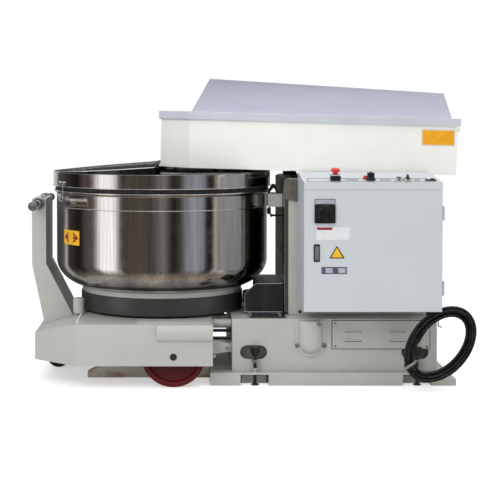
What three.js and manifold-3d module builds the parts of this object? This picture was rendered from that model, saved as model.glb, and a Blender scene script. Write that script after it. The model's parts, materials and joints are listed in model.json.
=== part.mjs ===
// Spiral dough mixer with a tilting head and a bowl on a wheeled trolley.
// Units are millimetres. +Z is up, +X runs from the trolley to the back of the machine.
// The origin is on the floor under the middle of the base, on the machine's centre plane.
import * as THREE from 'three';
import { mergeVertices } from 'three/addons/utils/BufferGeometryUtils.js';
import Module from 'manifold-3d';

const wasm = await Module();
wasm.setup();

// ---------------------------------------------------------------- driving dimensions
const GAP = 0.3;                 // left between pieces that touch
const BOWL_X = -600;             // bowl axis
const BOWL_R = 495;
const BOWL_WALL = 4;
const BOWL_FLOOR_R = 295;        // flat floor inside the knuckle
const BOWL_FLOOR_Z = 386;
const KNUCKLE_H = 135;
const RIM_R = 507;
const RIM_Z = 846;
const DRIVE_RING_R = 380;
const DRIVE_RING_Z = [293, 372];

const DECK_Z = 283;              // top of the trolley deck
const TROLLEY_FOOT_Z = 102;      // lower edge of its skirts
const TROLLEY_HALF = 530;
const TROLLEY_REAR = -371;
const SHOULDER_X = -963;         // where the nose starts to narrow
const NOSE_X = -1161;
const NOSE_HALF = 355;
const NOSE_TIP_Z = 222;          // the top slopes down to this at the nose
const SHEET = 6;

const WHEEL_R = 142;
const WHEEL_X = -542;
const WHEEL_Y = 450;
const WHEEL_W = 60;
const WHEEL_BORE_R = 15;
const CASTER_R = 55;
const SWIVEL_X = -1064;
const CASTER_TRAIL = 25;

const PLINTH_X = [-381, 700];
const PLINTH_HALF = 445;
const PLINTH_Z = 56;
const REAR_FOOT_Z = 30;          // the foot plate behind the base is thinner
const BASE_X = [-283, 623];
const BASE_HALF = 405;
const BASE_TOP = 289;
const LEVELLER_X = [-183, 531];
const LEVELLER_Y = 428;

const COLUMN_X = [-25, 612];
const COLUMN_HALF = 290;
const COLUMN_TOP = 905;
const PIVOT_X = 490;
const PIVOT_Z = 860;
const PIVOT_R = 22;

const HEAD_TILT = 1.6;           // degrees, nose slightly up when closed
const HEAD_HALF = 300;
const HEAD_NOSE_X = -607;
const HEAD_CHAMFER = 129;
const HEAD_REAR_X = 725;
const HEAD_SIDE_H = 219;
const LIP_H = 36;
const LIP_OUT = 12;
const HEAD_TOP = HEAD_SIDE_H + LIP_H;
const HEAD_SHEET = 5;

const SPIRAL_X = -325;
const SPIRAL_PATH_R = 170;
const SPIRAL_ROD_R = 27;
const BREAKER_X = -572;
const BELT_Z = [992, 1040];
const BIG_PULLEY_R = 190;
const MOTOR_PULLEY_R = 50;
const MOTOR_X = 250;

const CABINET_X = [14, 603];
const CABINET_Y = [-597.6, -312];
const CABINET_Z = [350, 871];
const DOOR_FRONT = -620;
const DOOR_BACK = -598;
const CONSOLE_FRONT_Z = 902;
const CONSOLE_BACK_Z = 937;

const CORD_R = 7;
const COIL = { x: 614, y: -587, z: 199, long: 175, short: 130, lean: 40, ring: 52, depth: 50 };

// ---------------------------------------------------------------- paints and metals
const finish = (color, roughness, metalness = 0) =>
  new THREE.MeshStandardMaterial({ color, roughness, metalness });
const creamPaint = finish(0xbcbdb6, 0.45);
const headPaint = finish(0xe9e9e2, 0.4);
const cabinetPaint = finish(0xc6cdd2, 0.4);
const mirrorSteel = finish(0xb4b0aa, 0.12, 1);
const satinSteel = finish(0xa9b2ba, 0.32, 1);
const darkSteel = finish(0x3c3d3e, 0.35, 0.8);
const rawSteel = finish(0x7c746a, 0.5, 0.9);
const chrome = finish(0xd6d8da, 0.08, 1);
const castIron = finish(0x4a4b4c, 0.6, 0.7);
const blackRubber = finish(0x17181a, 0.75);
const blackPlastic = finish(0x1d1e20, 0.4);
const redWheel = finish(0x5c1416, 0.45);
const redPlastic = finish(0xc22a26, 0.35);
const motorGrey = finish(0x5d6770, 0.5);

// ---------------------------------------------------------------- shape helpers
const radians = (degrees) => (degrees * Math.PI) / 180;

function block(x, y, z) {
  const box = new THREE.BoxGeometry(x[1] - x[0], y[1] - y[0], z[1] - z[0]);
  return box.translate((x[0] + x[1]) / 2, (y[0] + y[1]) / 2, (z[0] + z[1]) / 2);
}

function outline(points) {
  return new THREE.Shape(points.map(([u, v]) => new THREE.Vector2(u, v)));
}

// An outline drawn in X and Y, raised from z[0] to z[1].
function prismZ(points, z) {
  const options = { depth: z[1] - z[0], bevelEnabled: false };
  return new THREE.ExtrudeGeometry(outline(points), options).translate(0, 0, z[0]);
}

// An outline drawn in X and Z, from y[0] to y[1].
function prismY(points, y) {
  const options = { depth: y[1] - y[0], bevelEnabled: false };
  const solid = new THREE.ExtrudeGeometry(outline(points), options);
  return solid.rotateX(Math.PI / 2).translate(0, y[1], 0);
}

// An outline drawn in Y and Z, from x[0] to x[1].
function prismX(points, x) {
  const options = { depth: x[1] - x[0], bevelEnabled: false };
  const turn = new THREE.Matrix4().makeBasis(
    new THREE.Vector3(0, 1, 0), new THREE.Vector3(0, 0, 1), new THREE.Vector3(1, 0, 0));
  return new THREE.ExtrudeGeometry(outline(points), options).applyMatrix4(turn).translate(x[0], 0, 0);
}

function rod(axis, at, radius, span, segments = 24) {
  const length = span[1] - span[0];
  const middle = (span[0] + span[1]) / 2;
  const shape = new THREE.CylinderGeometry(radius, radius, length, segments);
  if (axis === 'x') return shape.rotateZ(Math.PI / 2).translate(middle, at[0], at[1]);
  if (axis === 'y') return shape.translate(at[0], middle, at[1]);
  return shape.rotateX(Math.PI / 2).translate(at[0], at[1], middle);
}

// A closed profile of [radius, height] points turned about Z.
function turned(profile, segments = 48) {
  const points = profile.map(([r, z]) => new THREE.Vector2(r, z));
  return new THREE.LatheGeometry(points, segments).rotateX(Math.PI / 2);
}

// A profile that starts and ends off the axis is closed by repeating its first point.
function ringTurned(profile, segments = 48) {
  return turned([...profile, profile[0]], segments);
}

function arc(cx, cy, rx, ry, from, to, steps) {
  return Array.from({ length: steps + 1 }, (_, i) => {
    const angle = radians(from + ((to - from) * i) / steps);
    return [cx + rx * Math.cos(angle), cy + ry * Math.sin(angle)];
  });
}

function toSolid(geometry) {
  const bare = geometry.clone();
  bare.deleteAttribute('normal');
  bare.deleteAttribute('uv');
  const merged = mergeVertices(bare, 1e-4);
  return new wasm.Manifold(new wasm.Mesh({
    numProp: 3,
    vertProperties: new Float32Array(merged.attributes.position.array),
    triVerts: new Uint32Array(merged.index.array),
  }));
}

function toGeometry(solid) {
  const { vertProperties, triVerts } = solid.getMesh();
  const geometry = new THREE.BufferGeometry();
  geometry.setAttribute('position', new THREE.BufferAttribute(vertProperties.slice(), 3));
  geometry.setIndex(new THREE.BufferAttribute(triVerts.slice(), 1));
  geometry.computeVertexNormals();
  return geometry;
}

const join = (first, ...rest) =>
  toGeometry(rest.reduce((sum, next) => sum.add(toSolid(next)), toSolid(first)));
const cut = (first, ...rest) =>
  toGeometry(rest.reduce((left, next) => left.subtract(toSolid(next)), toSolid(first)));

const mesh = (name, geometry, material) => {
  const piece = new THREE.Mesh(geometry, material);
  piece.name = name;
  return piece;
};

const sides = [['near', -1], ['far', 1]];
const span = (sign, inner, outer) => (sign < 0 ? [-outer, -inner] : [inner, outer]);

// ---------------------------------------------------------------- base
function basePlinth() {
  const slab = block(PLINTH_X, [-PLINTH_HALF, PLINTH_HALF], [0, PLINTH_Z]);
  const bosses = LEVELLER_X.flatMap((x) => sides.map(([, sign]) =>
    rod('z', [x, sign * LEVELLER_Y], 14, [40, 75], 12)));
  const rearStep = block([BASE_X[1], 800], [-500, 500], [REAR_FOOT_Z, 100]);
  const pocket = block([-60, 400], [-330, 330], [12, 60]);
  const notches = LEVELLER_X.flatMap((x) => sides.map(([, sign]) =>
    block([x - 64, x + 60], span(sign, 385, 460), [-1, 48])));
  const bores = LEVELLER_X.flatMap((x) => sides.map(([, sign]) =>
    rod('z', [x, sign * LEVELLER_Y], 8.3, [30, 90], 16)));
  return join(cut(join(slab, ...bosses), rearStep, pocket, ...notches, ...bores), liftFootBracket());
}

function slotOutline(x, z, length, height) {
  const reach = (length - height) / 2;
  return [
    ...arc(x + reach, z, height / 2, height / 2, -90, 90, 6),
    ...arc(x - reach, z, height / 2, height / 2, 90, 270, 6),
  ];
}

function baseHousing() {
  const outer = block(BASE_X, [-BASE_HALF, BASE_HALF], [PLINTH_Z + GAP, BASE_TOP]);
  const inner = block([BASE_X[0] + SHEET, BASE_X[1] - SHEET], [-BASE_HALF + SHEET, BASE_HALF - SHEET],
    [0, BASE_TOP - 8]);
  const slots = LEVELLER_X.map((x) => prismY(slotOutline(x - 5, 141, 121, 61), [-500, 500]));
  const shaftHole = rod('z', [DRIVE_WHEEL_X, 0], 20, [200, 400], 20);
  const cylinderHole = block([20, 160], [-70, 70], [200, 400]);
  return join(cut(outer, inner, ...slots, shaftHole, cylinderHole), latchPivot());
}

function levellingBolt(sign, x) {
  const stem = rod('z', [x, sign * LEVELLER_Y], 8, [6, 132], 16);
  const head = rod('z', [x, sign * LEVELLER_Y], 19, [128, 168], 12);
  const foot = rod('z', [x, sign * LEVELLER_Y], 17, [0.2, 8], 16);
  return join(stem, head, foot);
}

function bellCover() {
  const x = 64;
  const z = 190;
  const top = BASE_TOP - 6;
  const flange = prismY([...arc(x, z, 70, 70, 180, 360, 12), [x + 70, top], [x - 70, top]],
    [-BASE_HALF - 6, -BASE_HALF - GAP]);
  const bell = prismY([...arc(x, z, 52, 52, 180, 360, 12), [x + 52, top], [x - 52, top]],
    [-BASE_HALF - 46, -BASE_HALF - 4]);
  const hollow = prismY([...arc(x, z, 47, 47, 180, 360, 12), [x + 47, top - 5], [x - 47, top - 5]],
    [-BASE_HALF - 41, -BASE_HALF + 10]);
  return cut(join(flange, bell), hollow);
}

function louvrePanel() {
  return block([160, 590], [-BASE_HALF - 2.8, -BASE_HALF - GAP], [157, 281]);
}

function guideRail(sign) {
  const side = [[-932, 4], [-932, 30], [-880, 55], [PLINTH_X[0] - GAP, 55], [PLINTH_X[0] - GAP, 4]];
  const bar = prismY(side, span(sign, 235, 285));
  const hollow = block([-860, -300], span(sign, 241, 279), [10, 49]);
  return cut(bar, hollow);
}

function driveGuard() {
  const y = [-250, 95];
  const floorZ = BASE_TOP + GAP;
  const side = [[-222, floorZ], [-44.5, floorZ], [-44.5, 427], [-170, 427], [-222, 380]];
  const bowlSpace = rod('z', [BOWL_X, 0], 445, [200, 500], 60);
  const shell = cut(prismY(side, y), bowlSpace);
  const hollow = block([-300, -50], [y[0] + 5, y[1] - 5], [floorZ + 6, 421]);
  const footPlate = cut(block([-205, -44.5], [-385, y[1] + 40], [floorZ, floorZ + 6]), bowlSpace);
  return cut(join(shell, footPlate), hollow, rod('z', [DRIVE_WHEEL_X, 0], 26, [200, 400], 20));
}

// ---------------------------------------------------------------- column
// The top rear corner falls away so that the head's back end can swing down past it.
function columnSide(inset) {
  const top = COLUMN_TOP - inset;
  const [front, rear] = [COLUMN_X[0] + inset, COLUMN_X[1] - inset];
  return [[front, BASE_TOP + GAP], [rear, BASE_TOP + GAP], [rear, 812 - inset * 0.4],
    [PIVOT_X + 38 - inset * 0.4, top], [front, top]];
}

function columnHousing() {
  const shell = prismY(columnSide(0), [-COLUMN_HALF, COLUMN_HALF]);
  const room = block([COLUMN_X[0] + SHEET, COLUMN_X[1] - SHEET],
    [-COLUMN_HALF + SHEET, COLUMN_HALF - SHEET], [200, 1000]);
  const topPlate = block([COLUMN_X[0], 330], [-COLUMN_HALF + 2, COLUMN_HALF - 2], [COLUMN_TOP - 8, COLUMN_TOP]);
  const topSlot = block([60, 310], [-70, 70], [800, 1000]);
  const bearings = sides.map(([, sign]) =>
    rod('y', [PIVOT_X, PIVOT_Z], 42, span(sign, 250, COLUMN_HALF - 2), 24));
  const bore = rod('y', [PIVOT_X, PIVOT_Z], PIVOT_R + GAP, [-400, 400], 24);
  return cut(join(cut(shell, room), topPlate, ...bearings), topSlot, bore);
}

function columnFrontPlate() {
  const front = COLUMN_X[0] - GAP;
  const panel = block([front - 18, front], [-285, 285], [300, 900]);
  return cut(panel, block([front - 15, front + 5], [-281, 281], [304, 896]));
}

function bowlGuideBracket() {
  const arm = block([-112, -44.5], [-190, -110], [771, 831]);
  const hollow = block([-108, -40], [-186, -114], [775, 827]);
  return cut(arm, hollow);
}

// ---------------------------------------------------------------- inside the base and the column
const DRIVE_WHEEL_R = 80;
const DRIVE_WHEEL_X = BOWL_X + DRIVE_RING_R + DRIVE_WHEEL_R + 0.6;

function bowlMotor() {
  const body = rod('z', [DRIVE_WHEEL_X, 0], 88, [70, 225], 20);
  const nose = rod('z', [DRIVE_WHEEL_X, 0], 40, [220, 250], 24);
  const bore = rod('z', [DRIVE_WHEEL_X, 0], 12.5, [180, 260], 24);
  return cut(join(body, nose), bore);
}

function driveWheel() {
  const tyre = turned([[0, 304], [DRIVE_WHEEL_R - 3, 304], [DRIVE_WHEEL_R, 307], [DRIVE_WHEEL_R, 359],
    [DRIVE_WHEEL_R - 3, 362], [30, 362], [30, 374], [0, 374]], 28);
  const shaft = rod('z', [0, 0], 12, [190, 310], 24);
  return join(tyre, shaft);
}

function powerPack() {
  const tank = block([300, 560], [-110, 110], [PLINTH_Z + 2, 190]);
  const motor = rod('z', [380, 0], 62, [185, 278], 24);
  const valve = block([460, 540], [-40, 40], [185, 240]);
  return join(tank, motor, valve);
}

// Lift cylinder: pinned low in the column, with its rod under the head.
const LIFT_FOOT = { x: 60, z: 140 };
const LIFT_EYE = { x: 160, z: 893 };
const LIFT_LENGTH = Math.hypot(LIFT_EYE.x - LIFT_FOOT.x, LIFT_EYE.z - LIFT_FOOT.z);
const LIFT_LEAN = Math.atan2(LIFT_EYE.x - LIFT_FOOT.x, LIFT_EYE.z - LIFT_FOOT.z);
const BARREL_END = 430;
const EYE_PIN_R = 12;
const FOOT_PIN_R = 12;
const EYE_SLACK_R = 28;          // wide enough for the arc that the pin takes

function liftBarrel() {
  const tube = rod('z', [0, 0], 36, [38, BARREL_END], 24);
  const neck = block([-20, 20], [-20, 20], [10, 44]);
  const eye = rod('y', [0, 0], 24, [-20, 20], 24);
  const bore = rod('z', [0, 0], 20.4, [48, BARREL_END + 10], 24);
  const pinHole = rod('y', [0, 0], FOOT_PIN_R + GAP, [-60, 60], 24);
  return cut(join(tube, neck, eye), bore, pinHole);
}

function liftRod() {
  const bar = rod('z', [0, 0], 20, [60, LIFT_LENGTH - 30], 24);
  const head = rod('y', [0, LIFT_LENGTH], 36, [-18, 18], 24);
  const slack = rod('y', [0, LIFT_LENGTH], EYE_SLACK_R, [-60, 60], 24);
  return cut(join(bar, head), slack);
}

function liftFootBracket() {
  const ears = [[-34, -24], [24, 34]].map((y) => block([LIFT_FOOT.x - 34, LIFT_FOOT.x + 34], y,
    [PLINTH_Z + 2, LIFT_FOOT.z + 20]));
  const seat = block([LIFT_FOOT.x - 50, LIFT_FOOT.x + 50], [-50, 50], [8, PLINTH_Z + 10]);
  const pin = rod('y', [LIFT_FOOT.x, LIFT_FOOT.z], FOOT_PIN_R, [-40, 40], 24);
  return join(seat, ...ears, pin);
}

// ---------------------------------------------------------------- trolley
const slopeTop = (x, lift = 0) =>
  DECK_Z + lift - ((SHOULDER_X - x) / (SHOULDER_X - NOSE_X)) * (DECK_Z - NOSE_TIP_Z);

function trolleyPlan(inset) {
  const half = TROLLEY_HALF - inset;
  const nose = NOSE_HALF - inset * 0.6;
  return [[TROLLEY_REAR, -half], [TROLLEY_REAR, half], [SHOULDER_X + inset * 0.4, half],
    [NOSE_X + inset, nose], [NOSE_X + inset, -nose], [SHOULDER_X + inset * 0.4, -half]];
}

// Everything above the deck and above the slope of the nose.
function aboveDeck(lower) {
  const deck = DECK_Z - lower;
  return prismY([[SHOULDER_X, deck], [0, deck], [0, 600], [NOSE_X - 100, 600],
    [NOSE_X - 100, slopeTop(NOSE_X - 100, -lower)]], [-700, 700]);
}

// A rolled edge along the rear top of each side panel.
function sideFender(sign) {
  const y = sign * (TROLLEY_HALF - 1);
  const bulge = arc(0, 247, 26, 36, -90, 90, 10).map(([out, z]) => [y + sign * out, z]);
  return prismX(sign < 0 ? bulge.reverse() : bulge, [-613, TROLLEY_REAR]);
}

function dockingTube(sign) {
  const tube = block([TROLLEY_REAR - 60, -300], span(sign, 140, 200), [216, 272]);
  return cut(tube, block([-500, -250], span(sign, 146, 194), [222, 265]));
}

function wheelHanger(sign) {
  return block([WHEEL_X - 45, WHEEL_X + 45], span(sign, 396, 406), [112, DECK_Z - 10]);
}

function wheelAxle() {
  return rod('y', [WHEEL_X, WHEEL_R], WHEEL_BORE_R, [-TROLLEY_HALF - 4, TROLLEY_HALF + 4], 24);
}

function roadWheel() {
  const half = WHEEL_W / 2;
  return ringTurned([[WHEEL_BORE_R + GAP, -half], [44, -half], [50, -12], [116, -12], [122, -half],
    [WHEEL_R - 4, -half], [WHEEL_R, -half + 6], [WHEEL_R, half - 6], [WHEEL_R - 4, half],
    [122, half], [116, 12], [50, 12], [44, half], [WHEEL_BORE_R + GAP, half]], 24).rotateX(Math.PI / 2);
}

function casterMount() {
  const half = 45;
  const top = (x) => slopeTop(x, -8);
  return prismY([[SWIVEL_X - half, 127], [SWIVEL_X + half, 127], [SWIVEL_X + half, top(SWIVEL_X + half)],
    [SWIVEL_X - half, top(SWIVEL_X - half)]], [-half, half]);
}

// Origin on the swivel axis at floor level; the wheel trails towards -X.
function casterFork() {
  const plate = rod('z', [0, 0], 36, [116, 126.5], 20);
  const legs = sides.map(([, sign]) => prismY([[-CASTER_TRAIL - 14, 42], [-CASTER_TRAIL + 14, 42], [26, 118],
    [-30, 118]], span(sign, 21, 27)));
  const axle = rod('y', [-CASTER_TRAIL, CASTER_R], 6, [-30, 30], 20);
  return join(plate, ...legs, axle);
}

function casterWheel() {
  return ringTurned([[6.3, -17], [CASTER_R - 6, -17], [CASTER_R, -11], [CASTER_R, 11], [CASTER_R - 6, 17],
    [6.3, 17]], 24).rotateX(Math.PI / 2);
}

const POST_HALF = 150;
const BAR_X = -1167;
const BAR_Z = 785;
const BAR_R = 19;

function handlePost() {
  const foot = (x) => slopeTop(x, GAP);
  const side = [[-1198, 502], [-1141, foot(-1141)], [-1010, foot(-1010)], [-1133, 506], [-1133, 804],
    [-1198, 804]];
  const core = [[-1192, 503], [-1134, 200], [-1018, 200], [-1018, foot(-1010)], [-1139, 505], [-1139, 745],
    [-1192, 745]];
  const shell = cut(prismY(side, [-POST_HALF, POST_HALF]), prismY(core, [-POST_HALF + SHEET, POST_HALF - SHEET]));
  return cut(shell, rod('y', [BAR_X, BAR_Z], BAR_R + 2, [-300, 300], 24));
}

function pushBar() {
  const tube = rod('y', [BAR_X, BAR_Z], BAR_R, [-378, 378], 24);
  const ends = sides.map(([, sign]) => rod('y', [BAR_X, BAR_Z], BAR_R + 2, span(sign, 376, 386), 24));
  return join(tube, ...ends);
}

// ---------------------------------------------------------------- docking latch
const HOOK_PIVOT = { x: -301, z: 158 };

function latchHook() {
  const plate = prismY([[-385, 128], [-380, 112], [-371, 112], [-371, 134], [-351, 134], [-300, 142],
    [-290, 150], [-289, 168], [-297, 174], [-312, 182], [-372, 192], [-385, 180]], [-399, -388]);
  const pivotHole = rod('y', [HOOK_PIVOT.x, HOOK_PIVOT.z], 9.3, [-450, -300], 24);
  return cut(plate, pivotHole);
}

function latchPivot() {
  const pin = rod('y', [HOOK_PIVOT.x, HOOK_PIVOT.z], 9, [-404, -366], 24);
  const lug = block([-320, BASE_X[0] + 3], [-383, -365], [138, 178]);
  return join(pin, lug);
}

// A pin under the open rear end of the trolley that the hook drops over.
function latchKeeper() {
  const pin = rod('y', [-361, 125], 6, [-402, -378], 20);
  const arm = block([-470, -354], [-377, -366], [112, 138]);
  const post = block([-470, -440], [-377, -366], [136, DECK_Z - 10]);
  return join(block([-368, -354], [-382, -366], [114, 136]), arm, post, pin);
}

function trolleyFrame() {
  const outer = cut(prismZ(trolleyPlan(0), [TROLLEY_FOOT_Z, 400]), aboveDeck(0));
  const widened = trolleyPlan(SHEET).map(([x, y]) => [x === TROLLEY_REAR ? TROLLEY_REAR + 50 : x, y]);
  const inner = cut(prismZ(widened, [0, 400]), aboveDeck(12));
  const shell = cut(outer, inner);
  const arches = sides.map(([, sign]) =>
    block([WHEEL_X - 160, WHEEL_X + 160], span(sign, WHEEL_Y - 44, WHEEL_Y + 44), [DECK_Z - 6, DECK_Z + 6]));
  const archRooms = sides.map(([, sign]) =>
    block([WHEEL_X - 152, WHEEL_X + 152], span(sign, WHEEL_Y - 36, WHEEL_Y + 36), [200, DECK_Z + 2.5]));
  const welded = sides.flatMap(([, sign]) => [sideFender(sign), dockingTube(sign), wheelHanger(sign)]);
  const body = join(shell, ...arches, ...welded, casterMount(), latchKeeper());
  return cut(body, ...archRooms, rod('y', [WHEEL_X, WHEEL_R], WHEEL_BORE_R + GAP, [-600, 600], 24));
}

// ---------------------------------------------------------------- bowl, in its own frame about its axis
function bowl() {
  const knuckle = (inset, from, to) => arc(BOWL_FLOOR_R, BOWL_FLOOR_Z + KNUCKLE_H,
    BOWL_R - BOWL_FLOOR_R - inset, KNUCKLE_H - inset, from, to, 4);
  return turned([
    [0, BOWL_FLOOR_Z],
    ...knuckle(0, 270, 360),
    [BOWL_R, RIM_Z - 14],
    [RIM_R, RIM_Z - 10],
    [RIM_R, RIM_Z - 2],
    [RIM_R - 3, RIM_Z],
    [BOWL_R - BOWL_WALL, RIM_Z],
    ...knuckle(BOWL_WALL, 360, 270),
    [0, BOWL_FLOOR_Z + BOWL_WALL],
  ], 48);
}

function bowlBaseRing() {
  const under = (r) => BOWL_FLOOR_Z - GAP + KNUCKLE_H
    - KNUCKLE_H * Math.sqrt(1 - Math.max(0, (r - BOWL_FLOOR_R) / (BOWL_R - BOWL_FLOOR_R)) ** 2);
  const bottom = DRIVE_RING_Z[1] + GAP;
  const top = [375, 350, 322, 285].map((r) => [r, under(r) - 1]);
  return ringTurned([[285, bottom], [375, bottom], ...top], 36);
}

function bowlDriveRing() {
  const [low, high] = DRIVE_RING_Z;
  return turned([[0, low + 12], [64, low + 12], [64, high - 14], [336, high - 14], [340, low],
    [DRIVE_RING_R, low], [DRIVE_RING_R, high], [0, high]], 48);
}

function turntableBearing() {
  return turned([[0, DECK_Z + GAP], [120, DECK_Z + GAP], [120, DECK_Z + 12], [70, DRIVE_RING_Z[0] + 11.6],
    [0, DRIVE_RING_Z[0] + 11.6]], 24);
}

// ---------------------------------------------------------------- head, in a frame tilted about the pivot
const HEAD_BASE = 66;            // lower edge of the head above the pivot, square to the head

function headPlan(grow) {
  const half = HEAD_HALF + grow;
  const turn = grow * Math.tan(Math.PI / 8);
  return [[HEAD_NOSE_X - grow, -(HEAD_HALF - HEAD_CHAMFER + turn)], [HEAD_NOSE_X + HEAD_CHAMFER - turn, -half],
    [HEAD_REAR_X + grow, -half], [HEAD_REAR_X + grow, half], [HEAD_NOSE_X + HEAD_CHAMFER - turn, half],
    [HEAD_NOSE_X - grow, HEAD_HALF - HEAD_CHAMFER + turn]];
}

const HOOD_X = [-469, 701];
const HOOD_RIDGE_X = [-389, 699];
const HOOD_HALF = 285;
const HOOD_SEAT = 2;             // how far the hood's sides stand on the head's top
const HOOD_RIDGE_HALF = 100;
const HOOD_H = [155, 117];       // above the lip at the front and at the back

function headBody() {
  const walls = prismZ(headPlan(0), [0, HEAD_TOP]);
  const lip = prismZ(headPlan(LIP_OUT), [HEAD_SIDE_H, HEAD_TOP]);
  const room = prismZ(headPlan(-HEAD_SHEET), [-10, HEAD_TOP - HEAD_SHEET]);
  const mouth = block([HOOD_X[0] + 22, HOOD_X[1] - 22], [-HOOD_HALF + HOOD_SEAT, HOOD_HALF - HOOD_SEAT], [200, 300]);
  const knob = rod('x', [-200, 206], 9, [HEAD_REAR_X - 3, HEAD_REAR_X + 31], 16);
  return join(cut(join(walls, lip), room, mouth), knob);
}

// Eight corners joined as a closed hipped shape.
function hipped(base, ridge, baseZ, ridgeZ) {
  const corners = [
    [base.x[0], -base.y, baseZ], [base.x[1], -base.y, baseZ], [base.x[1], base.y, baseZ], [base.x[0], base.y, baseZ],
    [ridge.x[0], -ridge.y, ridgeZ[0]], [ridge.x[1], -ridge.y, ridgeZ[1]],
    [ridge.x[1], ridge.y, ridgeZ[1]], [ridge.x[0], ridge.y, ridgeZ[0]],
  ];
  const faces = [[0, 3, 2, 1], [4, 5, 6, 7], [0, 1, 5, 4], [1, 2, 6, 5], [2, 3, 7, 6], [3, 0, 4, 7]];
  const geometry = new THREE.BufferGeometry();
  geometry.setAttribute('position', new THREE.Float32BufferAttribute(corners.flat(), 3));
  geometry.setIndex(faces.flatMap(([a, b, c, d]) => [a, b, c, a, c, d]));
  return geometry;
}

function headHood() {
  const foot = HEAD_TOP + GAP;
  const wall = 4;
  const outer = hipped({ x: HOOD_X, y: HOOD_HALF }, { x: HOOD_RIDGE_X, y: HOOD_RIDGE_HALF }, foot,
    [HEAD_TOP + HOOD_H[0], HEAD_TOP + HOOD_H[1]]);
  const inner = hipped({ x: [HOOD_X[0] + 10, HOOD_X[1] - wall], y: HOOD_HALF - 8 },
    { x: [HOOD_RIDGE_X[0] + 4, HOOD_RIDGE_X[1] - wall], y: HOOD_RIDGE_HALF }, foot - 1,
    [HEAD_TOP + HOOD_H[0] - wall, HEAD_TOP + HOOD_H[1] - wall]);
  return cut(outer, inner);
}

function pivotLug(sign) {
  const y = span(sign, 200, 235);
  return join(rod('y', [PIVOT_X, -HEAD_BASE], 42, y, 24), block([PIVOT_X - 42, PIVOT_X + 42], y, [-HEAD_BASE, 4]));
}

// ---------------------------------------------------------------- pieces under the head, square to the floor
function liftLug() {
  const ears = [[-34, -24], [24, 34]].map((y) => block([LIFT_EYE.x - 26, LIFT_EYE.x + 26], y,
    [LIFT_EYE.z - 26, 945]));
  return join(...ears, rod('y', [LIFT_EYE.x, LIFT_EYE.z], EYE_PIN_R, [-38, 38], 24));
}

// Turns a piece made square to the floor into the head's own tilted frame.
const intoHead = (geometry) => geometry.translate(-PIVOT_X, 0, -PIVOT_Z)
  .rotateY(-radians(HEAD_TILT)).translate(PIVOT_X, 0, -HEAD_BASE);

// Floor of the head with the pieces welded to it: pivot lugs, lift lug and spiral bearing.
function headBasePlate() {
  const plate = prismZ(headPlan(-HEAD_SHEET - GAP), [1, 11]);
  const bearing = rod('z', [SPIRAL_X, 0], 74, [945, 985], 24);
  const shaftSpace = rod('z', [SPIRAL_X, 0], 34.5, [800, 1100], 24);
  const pivotBore = rod('y', [PIVOT_X, -HEAD_BASE], PIVOT_R + GAP, [-400, 400], 24);
  return cut(join(plate, pivotLug(-1), pivotLug(1), intoHead(liftLug()), intoHead(bearing)),
    intoHead(shaftSpace), pivotBore);
}

const RING_OUTER = 510;
const RING_Z = [858, 929];

function bowlCoverRing() {
  return ringTurned([[RING_OUTER - 4, RING_Z[0]], [RING_OUTER, RING_Z[0]], [RING_OUTER, RING_Z[1]],
    [RING_OUTER - 4, RING_Z[1]]], 48);
}

function ringSeal() {
  return ringTurned([[488, RIM_Z + 1.2], [508, RIM_Z + 1.2], [508, RING_Z[0] - GAP], [488, RING_Z[0] - GAP]], 48);
}

function coverPlate() {
  const disc = rod('z', [0, 0], RING_OUTER - 1, [RING_Z[1] + GAP, RING_Z[1] + 4], 48);
  const frontPart = block([-600, LID_HINGE_X + 14], [-600, 600], [900, 960]);
  return cut(disc, frontPart, rod('z', [SPIRAL_X - BOWL_X, 0], 50, [900, 960], 20),
    rod('z', [BREAKER_X - BOWL_X, 0], 26, [900, 960], 24));
}

const LID_HINGE_X = -16;         // from the bowl axis
const LID_HINGE_Z = 966;
const LID_SLOPE = 0.068;

// A shallow wedge-shaped cover over the front half of the ring.
function bowlLid() {
  const top = (x, drop) => LID_HINGE_Z - 4 - drop + (x - LID_HINGE_X) * LID_SLOPE;
  const wedge = (radius, edge, low, drop) => {
    const half = cut(rod('z', [0, 0], radius, [low, 1100], 48), block([edge, 700], [-700, 700], [0, 1200]));
    return cut(half, prismY([[-700, top(-700, drop)], [100, top(100, drop)], [100, 1300], [-700, 1300]],
      [-700, 700]));
  };
  return cut(wedge(RING_OUTER - 3, LID_HINGE_X - 8, RING_Z[1] + GAP, 0),
    wedge(RING_OUTER - 8, LID_HINGE_X - 13, 800, 5));
}

function lidHingeRod() {
  const bar = rod('y', [LID_HINGE_X, LID_HINGE_Z], 6, [-290, 290], 16);
  const ears = [-150, 150].map((y) => block([LID_HINGE_X, LID_HINGE_X + 8.5], [y - 12, y + 12], [960, 972]));
  return join(bar, ...ears);
}

function breakerBar() {
  const bar = rod('z', [BREAKER_X - BOWL_X, 0], 24, [BOWL_FLOOR_Z + 40, 951], 24);
  const flange = rod('z', [BREAKER_X - BOWL_X, 0], 50, [936, 951], 24);
  return join(bar, flange);
}

// ---------------------------------------------------------------- spiral drive, about the spiral's axis
class SpiralCurve extends THREE.Curve {
  getPoint(t, target = new THREE.Vector3()) {
    const reach = Math.min(1, t / 0.16);
    const tail = Math.max(0, (t - 0.86) / 0.14);
    const radius = SPIRAL_PATH_R * Math.sin((reach * Math.PI) / 2) * (1 - 0.35 * tail * tail);
    const angle = radians(40 + 470 * t);
    const height = 800 - 20 * reach - (340 * Math.max(0, t - 0.08)) / 0.92;
    return target.set(radius * Math.cos(angle), radius * Math.sin(angle), height);
  }
}

function spiralTool() {
  const section = outline(arc(0, 0, SPIRAL_ROD_R, SPIRAL_ROD_R, 0, 315, 7));
  const helix = new THREE.ExtrudeGeometry(section, { steps: 36, bevelEnabled: false, extrudePath: new SpiralCurve() });
  const shaft = rod('z', [0, 0], 34, [765, BELT_Z[0] + 6], 24);
  return join(shaft, helix);
}

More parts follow.
